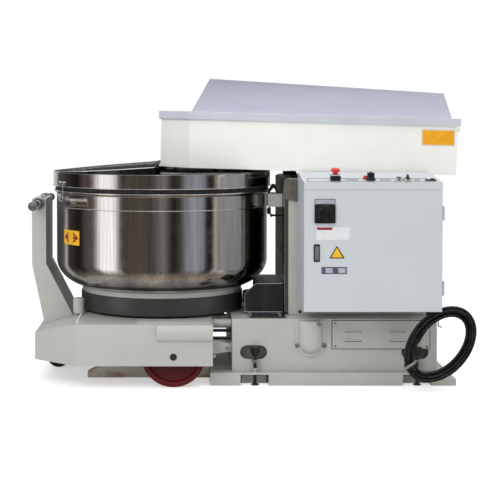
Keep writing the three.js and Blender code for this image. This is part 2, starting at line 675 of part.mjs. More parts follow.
function pulley(radius, bore, z) {
  return ringTurned([[bore, z[0]], [radius, z[0]], [radius, z[1]], [radius - 12, z[1]],
    [radius - 18, z[0] + 16], [bore + 20, z[0] + 16], [bore + 14, z[1]], [bore, z[1]]], 24);
}

function bigPulley() {
  return pulley(BIG_PULLEY_R, 22, [BELT_Z[0] + 6.5, BELT_Z[1]]);
}

function motorPulley() {
  const z = [BELT_Z[0] + 6.5, BELT_Z[1]];
  return join(rod('z', [0, 0], MOTOR_PULLEY_R, z, 32), rod('z', [0, 0], 16, [z[1] - 2, z[1] + 20], 24));
}

function spiralMotor() {
  const body = rod('z', [MOTOR_X, 0], 105, [BELT_Z[1] + 12, 1275], 20);
  const seat = block([MOTOR_X - 150, MOTOR_X + 150], [-130, 130], [BELT_Z[1] + 6, BELT_Z[1] + 14]);
  const legs = [[-140, -120], [-140, 120], [140, -120], [140, 120]].map(([x, y]) =>
    rod('z', [MOTOR_X + x, y], 10, [948, BELT_Z[1] + 10], 12));
  const bore = rod('z', [MOTOR_X, 0], 16.5, [BELT_Z[1] - 10, BELT_Z[1] + 80], 24);
  return cut(join(body, seat, ...legs), bore);
}

function beltLoop(extra) {
  const [big, small] = [BIG_PULLEY_R + extra, MOTOR_PULLEY_R + extra];
  const wrap = (Math.acos((big - small) / (MOTOR_X - SPIRAL_X)) * 180) / Math.PI;
  return [...arc(SPIRAL_X, 0, big, big, wrap, 360 - wrap, 30), ...arc(MOTOR_X, 0, small, small, -wrap, wrap, 12)];
}

function driveBelt() {
  const z = [BELT_Z[0] + 8, BELT_Z[1] - 2];
  return cut(prismZ(beltLoop(8), z), prismZ(beltLoop(1.5), [z[0] - 5, z[1] + 5]));
}

// ---------------------------------------------------------------- control cabinet
function cabinetDoor() {
  const x = [CABINET_X[0] + 0.5, CABINET_X[1] - 0.5];
  const z = [CABINET_Z[0] + 0.5, CABINET_Z[1] - 0.5];
  const pan = block(x, [DOOR_FRONT, DOOR_BACK], z);
  return cut(pan, block([x[0] + 12, x[1] - 12], [DOOR_FRONT + 4, DOOR_BACK + 5], [z[0] + 12, z[1] - 12]));
}

const DOOR_PIN = { x: CABINET_X[1] + 6, y: -609 };

function doorHinge(z) {
  const barrel = rod('z', [DOOR_PIN.x, DOOR_PIN.y], 5, [z - 30, z + 30], 16);
  const strap = block([CABINET_X[1] + 2, CABINET_X[1] + 7], [DOOR_PIN.y, -560], [z - 30, z + 30]);
  const leaf = block([CABINET_X[1] - 1, CABINET_X[1] + 3.5], [-595, -560], [z - 30, z + 30]);
  return join(barrel, strap, leaf);
}

function cabinetBox() {
  const outer = block(CABINET_X, CABINET_Y, CABINET_Z);
  const room = block([CABINET_X[0] + 4, CABINET_X[1] - 4], [CABINET_Y[0] - 10, CABINET_Y[1] - 4],
    [CABINET_Z[0] + 4, CABINET_Z[1] - 4]);
  const spacers = [80, 440].map((x) =>
    block([x - 20, x + 20], [CABINET_Y[1] - 2, -COLUMN_HALF - GAP], [380, 840]));
  return join(cut(outer, room), ...spacers, doorHinge(450), doorHinge(770), cableHook());
}

function electricalPanel() {
  const plate = block([60, 560], [-322, -317], [390, 830]);
  const rows = [700, 560, 430].flatMap((z) => [100, 200, 300, 400].map((x) =>
    block([x, x + 80], [-390, -320], [z, z + 80])));
  return join(plate, ...rows);
}

const SWITCH = { x: 102, z: 773 };

function switchKnob() {
  const collar = rod('y', [0, 0], 26, [-12, -0.5], 32);
  const grip = block([-8, 8], [-26, -11], [-32, 32]);
  return join(collar, grip);
}

const LATCH = { x: 68, z: 604 };

// Flush lever, pulled out at its lower end about a pin near its top.
function latchLever() {
  return block([-8.5, 8.5], [-9, -3.5], [-54, 6]);
}

// ---------------------------------------------------------------- console controls
// Each control is made about its own axis with its foot at z = 0 and stands square to the console.
const CONSOLE_SLOPE = Math.atan2(CONSOLE_BACK_Z - CONSOLE_FRONT_Z, CABINET_Y[1] - DOOR_FRONT);
const CONTROL_ROW_Y = -560;
const consoleZ = (y) => CONSOLE_FRONT_Z + (y - DOOR_FRONT) * Math.tan(CONSOLE_SLOPE);

function onConsole(piece, x) {
  piece.position.set(x, CONTROL_ROW_Y, consoleZ(CONTROL_ROW_Y) + GAP);
  piece.rotation.x = CONSOLE_SLOPE;
  return piece;
}

function stopMushroom() {
  return join(rod('z', [0, 0], 10, [7, 38], 20),
    turned([[0, 34], [14, 34], [20, 40], [20, 47], [15, 53], [0, 55]], 24));
}

function rotaryKnob() {
  return join(rod('z', [0, 0], 21, [0.2, 12], 20), rod('z', [0, 0], 15, [10, 34], 24),
    block([-4, 4], [-18, 18], [20, 36]));
}

function bezel(x) {
  return rod('z', [0, 0], 17, [-1, 9], 20).rotateX(CONSOLE_SLOPE).translate(x, CONTROL_ROW_Y, consoleZ(CONTROL_ROW_Y));
}

const CONTROL_X = { stop: 153, timer: 305, start: 425, mode: 463 };

function controlConsole() {
  const low = CABINET_Z[1] + GAP;
  const profile = [[DOOR_FRONT, low], [CABINET_Y[1], low], [CABINET_Y[1], CONSOLE_BACK_Z],
    [DOOR_FRONT, CONSOLE_FRONT_Z]];
  const hollow = [[DOOR_FRONT + 4, low - 5], [CABINET_Y[1] - 4, low - 5], [CABINET_Y[1] - 4, CONSOLE_BACK_Z - 4.5],
    [DOOR_FRONT + 4, CONSOLE_FRONT_Z - 4]];
  const roomX = [CABINET_X[0] + 4, CABINET_X[1] - 4];
  const place = (geometry, x) =>
    geometry.rotateX(CONSOLE_SLOPE).translate(x, CONTROL_ROW_Y, consoleZ(CONTROL_ROW_Y));
  const collar = place(block([-20, 20], [-20, 20], [-1, 26]), CONTROL_X.stop);
  const bores = [CONTROL_X.start, CONTROL_X.mode].map((x) => place(rod('z', [0, 0], 11.4, [0.2, 40], 20), x));
  const stopBore = place(rod('z', [0, 0], 10.5, [0.2, 60], 24), CONTROL_X.stop);
  const body = join(prismX(profile, CABINET_X), collar, bezel(CONTROL_X.start), bezel(CONTROL_X.mode));
  return cut(body, prismX(hollow, roomX), ...bores, stopBore);
}

function buttonCap() {
  return turned([[0, 5], [11, 5], [11, 14], [9, 16], [0, 16]], 24);
}

function selector() {
  return join(rod('z', [0, 0], 11, [0.5, 14], 24), block([-4, 4], [-12, 12], [12, 24]));
}

// ---------------------------------------------------------------- mains cable
function coilOutline(inset) {
  const lean = radians(COIL.lean);
  return arc(0, 0, COIL.short - inset, COIL.long - inset, 0, 352.5, 47).map(([u, v]) =>
    [COIL.x + u * Math.cos(lean) + v * Math.sin(lean), COIL.z - u * Math.sin(lean) + v * Math.cos(lean)]);
}

function cableCoil() {
  const y = [COIL.y - COIL.depth / 2, COIL.y + COIL.depth / 2];
  return cut(prismY(coilOutline(0), y), prismY(coilOutline(COIL.ring), [y[0] - 5, y[1] + 5]));
}

const GLAND = { x: 560, y: -545 };

// Straight down out of the gland, then down and forward to the back of the coil.
function cableLead() {
  const route = [[GLAND.x, GLAND.y, 321], [GLAND.x, GLAND.y, 300], [GLAND.x - 6, GLAND.y, 280],
    [GLAND.x - 18, GLAND.y - 2, 258], [GLAND.x - 34, GLAND.y - 4, 236], [GLAND.x - 46, GLAND.y - 6, 214]];
  const path = new THREE.CatmullRomCurve3(route.map((point) => new THREE.Vector3(...point)));
  const section = outline(arc(0, 0, CORD_R, CORD_R, 0, 324, 9));
  return new THREE.ExtrudeGeometry(section, { steps: 8, bevelEnabled: false, extrudePath: path });
}

function cableGland() {
  const top = CABINET_Z[0] - GAP;
  const nut = rod('z', [GLAND.x, GLAND.y], 15, [336, top], 6);
  const body = rod('z', [GLAND.x, GLAND.y], 11.5, [321 + GAP, 338], 20);
  return join(nut, body);
}

function cableHook() {
  const x = [596, 602];
  const profile = [[-552, 352], [-552, 281], [-617, 281], [-617, 293], [-614, 293], [-614, 284],
    [-555, 284], [-555, 352]];
  return prismX(profile.reverse(), x);
}

// ---------------------------------------------------------------- assembly
const machine = new THREE.Group();

machine.add(
  mesh('base_plinth', basePlinth(), creamPaint),
  mesh('base_housing', baseHousing(), creamPaint),
  mesh('bell_cover', bellCover(), creamPaint),
  mesh('louvre_panel', louvrePanel(), creamPaint),
  mesh('drive_wheel_guard', driveGuard(), darkSteel),
  mesh('column_housing', columnHousing(), creamPaint),
  mesh('column_front_plate', columnFrontPlate(), mirrorSteel),
  mesh('head_pivot_shaft', rod('y', [PIVOT_X, PIVOT_Z], PIVOT_R, [-COLUMN_HALF - 3, COLUMN_HALF + 3]), rawSteel),
  mesh('bowl_guide_bracket', bowlGuideBracket(), creamPaint),
  mesh('bowl_drive_motor', bowlMotor(), motorGrey),
  mesh('hydraulic_power_pack', powerPack(), motorGrey),
);

for (const [side, sign] of sides) {
  const wheel = mesh(`trolley_wheel_${side}`, roadWheel(), redWheel);
  wheel.position.set(WHEEL_X, sign * WHEEL_Y, WHEEL_R);
  machine.add(
    mesh(`guide_rail_${side}`, guideRail(sign), rawSteel),
    mesh(`levelling_bolt_front_${side}`, levellingBolt(sign, LEVELLER_X[0]), blackPlastic),
    mesh(`levelling_bolt_rear_${side}`, levellingBolt(sign, LEVELLER_X[1]), blackPlastic),
    wheel,
  );
}

machine.add(
  mesh('trolley_frame', trolleyFrame(), creamPaint),
  mesh('trolley_axle', wheelAxle(), rawSteel),
  mesh('handle_post', handlePost(), creamPaint),
  mesh('push_bar', pushBar(), chrome),
  mesh('latch_hook', latchHook(), rawSteel),
);

const caster = new THREE.Group();
caster.position.x = SWIVEL_X;
const rollingCaster = mesh('caster_wheel', casterWheel(), blackRubber);
rollingCaster.position.set(-CASTER_TRAIL, 0, CASTER_R);
caster.add(mesh('caster_fork', casterFork(), darkSteel), rollingCaster);
machine.add(caster);

const bowlGroup = new THREE.Group();
bowlGroup.position.x = BOWL_X;
bowlGroup.add(
  mesh('mixing_bowl', bowl(), mirrorSteel),
  mesh('bowl_base_ring', bowlBaseRing(), creamPaint),
  mesh('bowl_drive_ring', bowlDriveRing(), darkSteel),
  mesh('turntable_bearing', turntableBearing(), castIron),
  mesh('bowl_cover_ring', bowlCoverRing(), mirrorSteel),
  mesh('ring_seal', ringSeal(), blackRubber),
  mesh('bowl_cover_plate', coverPlate(), darkSteel),
  mesh('bowl_lid', bowlLid(), blackPlastic),
  mesh('lid_hinge_rod', lidHingeRod(), darkSteel),
  mesh('dough_breaker_bar', breakerBar(), mirrorSteel),
);
machine.add(bowlGroup);

const driveWheelPiece = mesh('bowl_drive_wheel', driveWheel(), blackRubber);
driveWheelPiece.position.x = DRIVE_WHEEL_X;
machine.add(driveWheelPiece);

const liftGroup = new THREE.Group();
liftGroup.position.set(LIFT_FOOT.x, 0, LIFT_FOOT.z);
liftGroup.rotation.y = LIFT_LEAN;
liftGroup.add(mesh('lift_barrel', liftBarrel(), motorGrey), mesh('lift_rod', liftRod(), chrome));
machine.add(liftGroup);

const headFrame = new THREE.Group();
headFrame.position.set(PIVOT_X, 0, PIVOT_Z);
headFrame.rotation.y = radians(HEAD_TILT);
const headShell = new THREE.Group();
headShell.position.set(-PIVOT_X, 0, HEAD_BASE);
headShell.add(
  mesh('head_body', headBody(), headPaint),
  mesh('head_base_plate', headBasePlate(), headPaint),
  mesh('head_hood', headHood(), satinSteel),
);
headFrame.add(headShell);
machine.add(headFrame);

machine.add(
  mesh('spiral_motor', spiralMotor(), motorGrey),
  mesh('drive_belt', driveBelt(), blackRubber),
);

const spiralGroup = new THREE.Group();
spiralGroup.position.x = SPIRAL_X;
spiralGroup.add(
  mesh('spiral_tool', spiralTool(), mirrorSteel),
  mesh('spiral_pulley', bigPulley(), castIron),
);
machine.add(spiralGroup);

const motorPulleyPiece = mesh('motor_pulley', motorPulley(), castIron);
motorPulleyPiece.position.x = MOTOR_X;
machine.add(motorPulleyPiece);

const knob = mesh('main_switch_knob', switchKnob(), blackPlastic);
knob.position.set(SWITCH.x, DOOR_FRONT - 14, SWITCH.z);
const lever = mesh('door_latch_lever', latchLever(), motorGrey);
lever.position.set(LATCH.x, DOOR_FRONT, LATCH.z + 22);

machine.add(
  mesh('cabinet_box', cabinetBox(), cabinetPaint),
  mesh('control_console', controlConsole(), cabinetPaint),
  mesh('cabinet_door', cabinetDoor(), cabinetPaint),
  mesh('electrical_panel', electricalPanel(), motorGrey),
  knob,
  lever,
  onConsole(mesh('emergency_stop', stopMushroom(), redPlastic), CONTROL_X.stop),
  onConsole(mesh('timer_knob', rotaryKnob(), blackPlastic), CONTROL_X.timer),
  onConsole(mesh('start_button', buttonCap(), blackPlastic), CONTROL_X.start),
  onConsole(mesh('mode_selector', selector(), blackPlastic), CONTROL_X.mode),
  mesh('cable_gland', cableGland(), blackPlastic),
  mesh('cable_lead', cableLead(), blackRubber),
  mesh('cable_coil', cableCoil(), blackRubber),
);

export default machine;
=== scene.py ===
"""Looks of the spiral dough mixer: finishes, rounded sheet metal, turned parts, trim and the mains cable."""

import json
import math

import bmesh
import bpy
from mathutils import Matrix, Vector


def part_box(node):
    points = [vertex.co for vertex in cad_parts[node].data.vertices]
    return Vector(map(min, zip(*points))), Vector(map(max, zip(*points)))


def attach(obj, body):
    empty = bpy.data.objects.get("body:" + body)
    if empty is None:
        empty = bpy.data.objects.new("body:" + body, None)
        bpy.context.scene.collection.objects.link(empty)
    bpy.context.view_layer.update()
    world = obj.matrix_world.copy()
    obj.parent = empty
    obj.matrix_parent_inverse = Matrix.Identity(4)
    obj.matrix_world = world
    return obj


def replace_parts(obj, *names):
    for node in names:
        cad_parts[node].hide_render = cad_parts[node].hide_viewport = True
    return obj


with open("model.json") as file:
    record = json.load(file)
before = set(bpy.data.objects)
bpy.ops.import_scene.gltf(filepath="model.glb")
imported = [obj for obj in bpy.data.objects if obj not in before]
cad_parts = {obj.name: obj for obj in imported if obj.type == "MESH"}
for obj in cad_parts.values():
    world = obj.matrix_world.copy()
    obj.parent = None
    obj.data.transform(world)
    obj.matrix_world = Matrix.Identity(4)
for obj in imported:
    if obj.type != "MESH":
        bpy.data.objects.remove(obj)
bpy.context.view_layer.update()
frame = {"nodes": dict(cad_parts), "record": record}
BODY_OF = {node: body for body, nodes in frame["record"]["behaviour"]["bodies"].items() for node in nodes}
SLOT_OF = {part["node"]: part["material_slot"] for part in frame["record"]["subparts"]}

X, Y, Z = Vector((1, 0, 0)), Vector((0, 1, 0)), Vector((0, 0, 1))
SIDES = (("near", -1), ("far", 1))


# ---------------------------------------------------------------- camera
CAMERA_AT = (-0.496, -6.0, 1.15)
CAMERA_LENS = 95.2               # mm, on a sensor 36 mm wide
CAMERA_DOWN = 1.3                # degrees below level
CAMERA_SHIFT = (0.1167, -0.1815)


def make_camera():
    camera = bpy.data.objects.new("camera", bpy.data.cameras.new("camera"))
    bpy.context.collection.objects.link(camera)
    camera.data.sensor_width = 36
    camera.data.lens = CAMERA_LENS
    camera.location = CAMERA_AT
    camera.data.shift_x, camera.data.shift_y = CAMERA_SHIFT
    camera.rotation_euler = (math.radians(90 - CAMERA_DOWN), 0, 0)
    bpy.context.scene.camera = camera


make_camera()


# ---------------------------------------------------------------- finishes
class Nodes:
    """A short way to write a node tree: make a node, set its inputs, link them."""

    def __init__(self, tree):
        self.tree = tree

    def add(self, kind, **settings):
        node = self.tree.nodes.new("ShaderNode" + kind)
        for key, value in settings.items():
            setattr(node, key, value)
        return node

    def link(self, output, socket):
        self.tree.links.new(output, socket)

    def noise(self, scale, stretch=(1, 1, 1), detail=4, roughness=0.5):
        where = self.add("TexCoord")
        mapping = self.add("Mapping")
        mapping.inputs["Scale"].default_value = stretch
        texture = self.add("TexNoise")
        texture.inputs["Scale"].default_value = scale
        texture.inputs["Detail"].default_value = detail
        texture.inputs["Roughness"].default_value = roughness
        self.link(where.outputs["Object"], mapping.inputs["Vector"])
        self.link(mapping.outputs["Vector"], texture.inputs["Vector"])
        return texture.outputs["Fac"]

    def ramp(self, source, stops, interpolation="LINEAR"):
        ramp = self.add("ValToRGB")
        ramp.color_ramp.interpolation = interpolation
        elements = ramp.color_ramp.elements
        while len(elements) < len(stops):
            elements.new(0.5)
        for element, (at, color) in zip(elements, stops):
            element.position = at
            element.color = (*color, 1) if len(color) == 3 else color
        self.link(source, ramp.inputs["Fac"])
        return ramp.outputs["Color"]

    def mix(self, factor, first, second, blend="MIX"):
        mix = self.add("Mix", data_type="RGBA", blend_type=blend)
        for index, value in ((0, factor), (6, first), (7, second)):
            if isinstance(value, (int, float, tuple)):
                mix.inputs[index].default_value = value if index == 0 else (*value, 1)
            else:
                self.link(value, mix.inputs[index])
        return mix.outputs[2]

    def bump(self, height, strength, distance):
        bump = self.add("Bump")
        bump.inputs["Strength"].default_value = strength
        bump.inputs["Distance"].default_value = distance
        self.link(height, bump.inputs["Height"])
        return bump.outputs["Normal"]


def srgb(red, green, blue):
    """A colour given as 0 to 255, in the linear numbers that shaders use."""
    return tuple((c / 255 / 12.92) if c < 10.3 else ((c / 255 + 0.055) / 1.055) ** 2.4
                 for c in (red, green, blue))


def scaled(color, factor):
    return tuple(min(1.0, c * factor) for c in color)


def new_material(name):
    material = bpy.data.materials.new(name)
    material.use_nodes = True
    nodes = Nodes(material.node_tree)
    return material, nodes, material.node_tree.nodes["Principled BSDF"]


def paint(name, color, roughness=0.42, mottle=0.05, shade_and_soil_tint=(0.62, 0.55, 0.44), shade_and_soil_share=0.35, peel=0.05):
    """Sprayed enamel: faint cloudy colour, orange peel, and a darker soiled tone in patches and old drips.
    That tone is laid only where ambient occlusion finds corners, so it is partly soil and partly painted
    corner shade.
    """
    material, nodes, shader = new_material(name)
    clouds = nodes.ramp(nodes.noise(5, detail=5),
                        [(0.3, scaled(color, 1 - mottle)), (0.7, scaled(color, 1 + mottle))])
    # Painted shade: the ambient occlusion below darkens the paint in corners and crevices, and the noise
    # patches break that up as soil.
    corners = nodes.add("AmbientOcclusion", samples=8)
    corners.inputs["Distance"].default_value = 0.05
    patches = nodes.noise(9, stretch=(1, 1, 0.5), detail=6, roughness=0.65)
    corner_shade = nodes.ramp(corners.outputs["AO"], [(0.35, (1, 1, 1)), (0.85, (0, 0, 0))])
    patchy = nodes.ramp(patches, [(0.42, (0, 0, 0)), (0.7, (1, 1, 1))])
    shade_and_grime = nodes.mix(1.0, corner_shade, patchy, "MULTIPLY")
    share = nodes.mix(1.0, shade_and_grime, (shade_and_soil_share,) * 3, "MULTIPLY")
    shaded_and_soiled = tuple(c * s for c, s in zip(color, shade_and_soil_tint))
    nodes.link(nodes.mix(share, clouds, shaded_and_soiled), shader.inputs["Base Color"])
    rough = nodes.ramp(nodes.noise(14), [(0.3, (roughness - 0.06,) * 3), (0.75, (roughness + 0.08,) * 3)])
    nodes.link(rough, shader.inputs["Roughness"])
    shader.inputs["Coat Weight"].default_value = 0.15
    shader.inputs["Coat Roughness"].default_value = 0.2
    nodes.link(nodes.bump(nodes.noise(420, detail=2), peel, 0.0006), shader.inputs["Normal"])
    return material


def steel(name, color, roughness, grain=(1, 1, 0.02), grain_scale=160, contrast=0.25, broad=6, peel=0.02,
          anisotropy=0.0):
    """Bare metal with a drawn or polished grain, broad darker bands along it that are painted reflection
    streaks, and faint handling marks.
    """
    material, nodes, shader = new_material(name)
    shader.inputs["Metallic"].default_value = 1.0
    shader.inputs["Anisotropic"].default_value = anisotropy
    lines = nodes.noise(grain_scale, stretch=grain, detail=3)
    # The broad bands darken the base colour in streaks along the grain: painted reflection streaks.
    bands = nodes.noise(broad, stretch=grain, detail=3)
    fine = nodes.ramp(lines, [(0.3, scaled(color, 1 - contrast * 0.4)),
                              (0.7, scaled(color, 1 + contrast * 0.2))])
    wide = nodes.ramp(bands, [(0.3, (1 - contrast,) * 3), (0.6, (1, 1, 1))])
    nodes.link(nodes.mix(1.0, fine, wide, "MULTIPLY"), shader.inputs["Base Color"])
    marks = nodes.noise(22, detail=7, roughness=0.7)
    rough = nodes.ramp(marks, [(0.35, (roughness,) * 3), (0.7, (roughness + 0.1,) * 3)])
    nodes.link(rough, shader.inputs["Roughness"])
    nodes.link(nodes.bump(lines, peel, 0.0004), shader.inputs["Normal"])
    return material


def plastic(name, color, roughness, grain=0.04, coat=0.0, specular=0.5):
    """Moulded plastic, rubber or gloss enamel with a fine texture and slight dust."""
    material, nodes, shader = new_material(name)
    dusty = nodes.ramp(nodes.noise(30, detail=6, roughness=0.7),
                       [(0.4, color), (0.8, tuple(c + 0.02 for c in scaled(color, 1.25)))])
    nodes.link(dusty, shader.inputs["Base Color"])
    rough = nodes.ramp(nodes.noise(45),
                       [(0.3, (max(0.02, roughness - 0.05),) * 3), (0.7, (roughness + 0.08,) * 3)])
    nodes.link(rough, shader.inputs["Roughness"])
    shader.inputs["Coat Weight"].default_value = coat
    shader.inputs["Coat Roughness"].default_value = 0.08
    shader.inputs["Specular IOR Level"].default_value = specular
    nodes.link(nodes.bump(nodes.noise(700, detail=2), grain, 0.0004), shader.inputs["Normal"])
    return material


def stained_lit_steel(name):
    """Bare plate with brown stains and a dull machined skin, its colour lifted near white as painted light.
    """
    material, nodes, shader = new_material(name)
    shader.inputs["Metallic"].default_value = 0.1
    stains = nodes.noise(11, stretch=(0.6, 1, 1), detail=7, roughness=0.62)
    # Painted light: the pale stops are lifted near white so the plate reads lit where it sits in shade under
    # the trolley; the brown stops are real stains.
    color = nodes.ramp(stains, [(0.3, srgb(242, 238, 230)), (0.5, srgb(226, 218, 208)),
                                (0.62, srgb(178, 154, 134)), (0.8, srgb(236, 230, 220))])
    nodes.link(color, shader.inputs["Base Color"])
    nodes.link(nodes.ramp(stains, [(0.3, (0.34,) * 3), (0.7, (0.62,) * 3)]), shader.inputs["Roughness"])
    nodes.link(nodes.bump(nodes.noise(260, stretch=(0.1, 1, 1)), 0.12, 0.0005), shader.inputs["Normal"])
    return material


def painted_shade_upwards(material, low, high, share):
    """Paints shade into a finish: multiplies it by a tone that falls from 1 at the height low to share at the
    height high.
    """
    nodes = Nodes(material.node_tree)
    base = material.node_tree.nodes["Principled BSDF"].inputs["Base Color"]
    where, split, height = nodes.add("TexCoord"), nodes.add("SeparateXYZ"), nodes.add("MapRange")
    nodes.link(where.outputs["Object"], split.inputs[0])
    nodes.link(split.outputs["Z"], height.inputs["Value"])
    height.inputs["From Min"].default_value, height.inputs["From Max"].default_value = low, high
    upward_shade = nodes.ramp(height.outputs[0], [(0.0, (1, 1, 1)), (1.0, (share,) * 3)])
    nodes.link(nodes.mix(1.0, base.links[0].from_socket, upward_shade, "MULTIPLY"), base)
    return material


# cream_paint and head_paint are one off-white paint in two tones: the head's copy is brightened as painted
# light, and the cream copy keeps the darker tone of the lower parts in shade.
CREAM = paint("cream_paint", srgb(192, 193, 186))
LIT_CREAM = paint("head_paint", srgb(250, 250, 244), roughness=0.36, shade_and_soil_share=0.15, mottle=0.03)
CABINET = paint("cabinet_paint", srgb(203, 209, 213), roughness=0.38, shade_and_soil_share=0.12, mottle=0.02, peel=0.09)
MIRROR = steel("mirror_steel", srgb(206, 201, 198), 0.08, contrast=0.55, broad=9)
# Painted reflection: a darker copy of the mirror steel for the column's front plate, standing for the dark
# surroundings it reflects.
MIRROR_DARK_REFLECTION = steel("mirror_steel_dark_reflection", srgb(150, 145, 138), 0.12, contrast=0.4, broad=10)
SATIN = steel("satin_steel", srgb(205, 207, 213), 0.36, grain=(0.02, 1, 1), contrast=0.16, broad=5,
              anisotropy=0.4)
# The hood's steel: a darker, bluer copy of the satin steel, with painted shade that deepens towards its top.
SHADED_HOOD_STEEL = steel("hood_steel_shaded", srgb(186, 189, 200), 0.36, grain=(0.02, 1, 1), contrast=0.12, broad=5,
                   anisotropy=0.4)
painted_shade_upwards(SHADED_HOOD_STEEL, 1.17, 1.34, 0.66)
LIP_STEEL = paint("brushed_lip", srgb(226, 231, 241), roughness=0.42, mottle=0.05, shade_and_soil_share=0.1)
LIP_STEEL.node_tree.nodes["Principled BSDF"].inputs["Metallic"].default_value = 0.35
GUARD = steel("guard_plate", srgb(112, 116, 114), 0.2, grain=(1, 1, 0.05), contrast=0.4, broad=9)
CHROME = steel("chrome", srgb(234, 231, 224), 0.05, contrast=0.1)
LIT_RAW_STEEL = stained_lit_steel("raw_steel")
RING_BLACK = paint("ring_paint", srgb(62, 61, 61), roughness=0.4, mottle=0.18, shade_and_soil_share=0.2)
IRON = steel("cast_iron", srgb(98, 98, 100), 0.5, grain=(1, 1, 1), grain_scale=240, contrast=0.3, peel=0.2)
RUBBER = plastic("black_rubber", srgb(24, 24, 26), 0.62, grain=0.12)
CABLE_BLACK = plastic("cable_jacket", srgb(5, 5, 6), 0.26, grain=0.05, specular=0.4)
GLOSS = plastic("black_gloss", srgb(9, 9, 10), 0.1, grain=0.01, specular=0.3)
BLACK = plastic("black_plastic", srgb(19, 19, 21), 0.4, grain=0.08, specular=0.35)
ENAMEL = plastic("black_enamel", srgb(20, 20, 22), 0.3, grain=0.15)
RED_WHEEL = paint("red_wheel_paint", srgb(96, 12, 14), roughness=0.4, mottle=0.15, shade_and_soil_tint=(0.4, 0.35, 0.35))
RED = plastic("red_plastic", srgb(206, 38, 32), 0.28, coat=0.3)
GREY = paint("motor_grey", srgb(104, 112, 120), roughness=0.45, mottle=0.08)
YELLOW_LABEL = plastic("label_yellow", srgb(232, 178, 26), 0.34, grain=0.01)
ORANGE_LABEL = plastic("label_orange", srgb(243, 168, 12), 0.34, grain=0.01)
WHITE_LABEL = plastic("label_white", srgb(222, 224, 226), 0.34, grain=0.01)
RED_LABEL = plastic("label_red", srgb(150, 22, 34), 0.34, grain=0.01)
GREY_LABEL = plastic("label_grey", srgb(170, 174, 182), 0.3, grain=0.01)
DARK_LABEL = plastic("label_dark", srgb(86, 86, 104), 0.3, grain=0.01)
FIELD_LABEL = plastic("label_field", srgb(176, 176, 192), 0.3, grain=0.01)
# Painted shade: the dull grey that stands for the shaded inside of the base behind its windows.
INTERIOR_SHADE = paint("inside_shade_paint", srgb(116, 116, 112), roughness=0.6, mottle=0.1, shade_and_soil_share=0.2)
# Painted shade: the cheek plates take the dark grey-brown that shade gives them.
SHADED_CHEEK = paint("cheek_shade_paint", srgb(100, 98, 91), roughness=0.35, mottle=0.1)
PALE_TAPE = plastic("pale_tape", srgb(128, 128, 124), 0.5, grain=0.2)

FINISH = {"cream_paint": CREAM, "head_paint": LIT_CREAM, "cabinet_paint": CABINET, "mirror_steel": MIRROR,
          "satin_steel": SATIN, "dark_steel": GUARD, "ring_black": RING_BLACK, "raw_steel": LIT_RAW_STEEL,
          "chrome": CHROME, "cast_iron": IRON, "black_rubber": RUBBER, "black_gloss": GLOSS,
          "black_plastic": BLACK, "black_paint": ENAMEL, "red_wheel": RED_WHEEL, "red_plastic": RED,
          "motor_grey": GREY}


# ---------------------------------------------------------------- mesh helpers
def piece(name, form, material, body, smooth=38, weighted=True):
    """Turns a bmesh into a shown piece that rides on a body."""
    mesh = bpy.data.meshes.new(name)
    bmesh.ops.recalc_face_normals(form, faces=form.faces)
    form.to_mesh(mesh)
    form.free()
    for each in material if isinstance(material, (list, tuple)) else [material]:
        mesh.materials.append(each)
    mesh.shade_smooth()
    mesh.set_sharp_from_angle(angle=math.radians(smooth))
    made = bpy.data.objects.new(name, mesh)
    bpy.context.collection.objects.link(made)
    if weighted:
        made.modifiers.new("flat_faces", "WEIGHTED_NORMAL").keep_sharp = True
    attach(made, body)
    return made


def instead_of(node, form, material=None, smooth=38, name=None, weighted=True):
    """A finer piece in the place of a CAD node: it rides on that node's body and, unless a material is given,
    takes the finish of the node's slot.
    """
    slot = SLOT_OF[node]
    made = piece(name or node + "_shape", form, material or FINISH[slot], BODY_OF[node], smooth,
                 weighted)
    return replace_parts(made, node)


def trim(name, form, material):
    """A small fixed piece that exists only in the looks, riding on the root."""
    return piece(name, form, material, "root")


def merged(*forms):
    """Several bmeshes as one, still separate inside it."""
    whole = bmesh.new()
    for form in forms:
        mesh = bpy.data.meshes.new("part")
        form.to_mesh(mesh)
        form.free()
        whole.from_mesh(mesh)
        bpy.data.meshes.remove(mesh)
    return whole


def placed(form, matrix):
    bmesh.ops.transform(form, matrix=matrix, verts=form.verts)
    return form


def moved(form, x, y, z):
    return placed(form, Matrix.Translation((x, y, z)))


def facing(direction, at):
    """Takes a form made about Z to a place where its Z points along direction."""
    return Matrix.Translation(Vector(at)) @ Vector(direction).to_track_quat("Z", "Y").to_matrix().to_4x4()


def rounded(points, radius, steps=4):
    """A closed outline with its corners rounded. A point may carry its own radius as a third number."""
    result = []
    count = len(points)
    for i, point in enumerate(points):
        corner = Vector(point[:2])
        before, after = Vector(points[i - 1][:2]) - corner, Vector(points[(i + 1) % count][:2]) - corner
        reach = point[2] if len(point) > 2 else radius
        reach = min(reach, before.length * 0.45, after.length * 0.45)
        if reach < 1e-6:
            result.append(tuple(corner))
            continue
        first, last = corner + before.normalized() * reach, corner + after.normalized() * reach
        for step in range(steps + 1):
            t = step / steps
            result.append(tuple(first * (1 - t) ** 2 + corner * 2 * t * (1 - t) + last * t ** 2))
    return result


def lathe(profile, segments=96):
    """A closed outline of (radius, height) points turned about Z. Points on the axis become one vertex."""
    form = bmesh.new()
    rings = []
    for radius, height in profile:
        if radius < 1e-6:
            rings.append([form.verts.new((0, 0, height))])
        else:
            turn = [2 * math.pi * k / segments for k in range(segments)]
            rings.append([form.verts.new((radius * math.cos(a), radius * math.sin(a), height)) for a in turn])
    for low, high in zip(rings, rings[1:] + rings[:1]):
        for k in range(segments):
            after = (k + 1) % segments
            corners = [low[k % len(low)], low[after % len(low)], high[after % len(high)], high[k % len(high)]]
            corners = list(dict.fromkeys(corners))
            if len(corners) > 2:
                form.faces.new(corners)
    return form


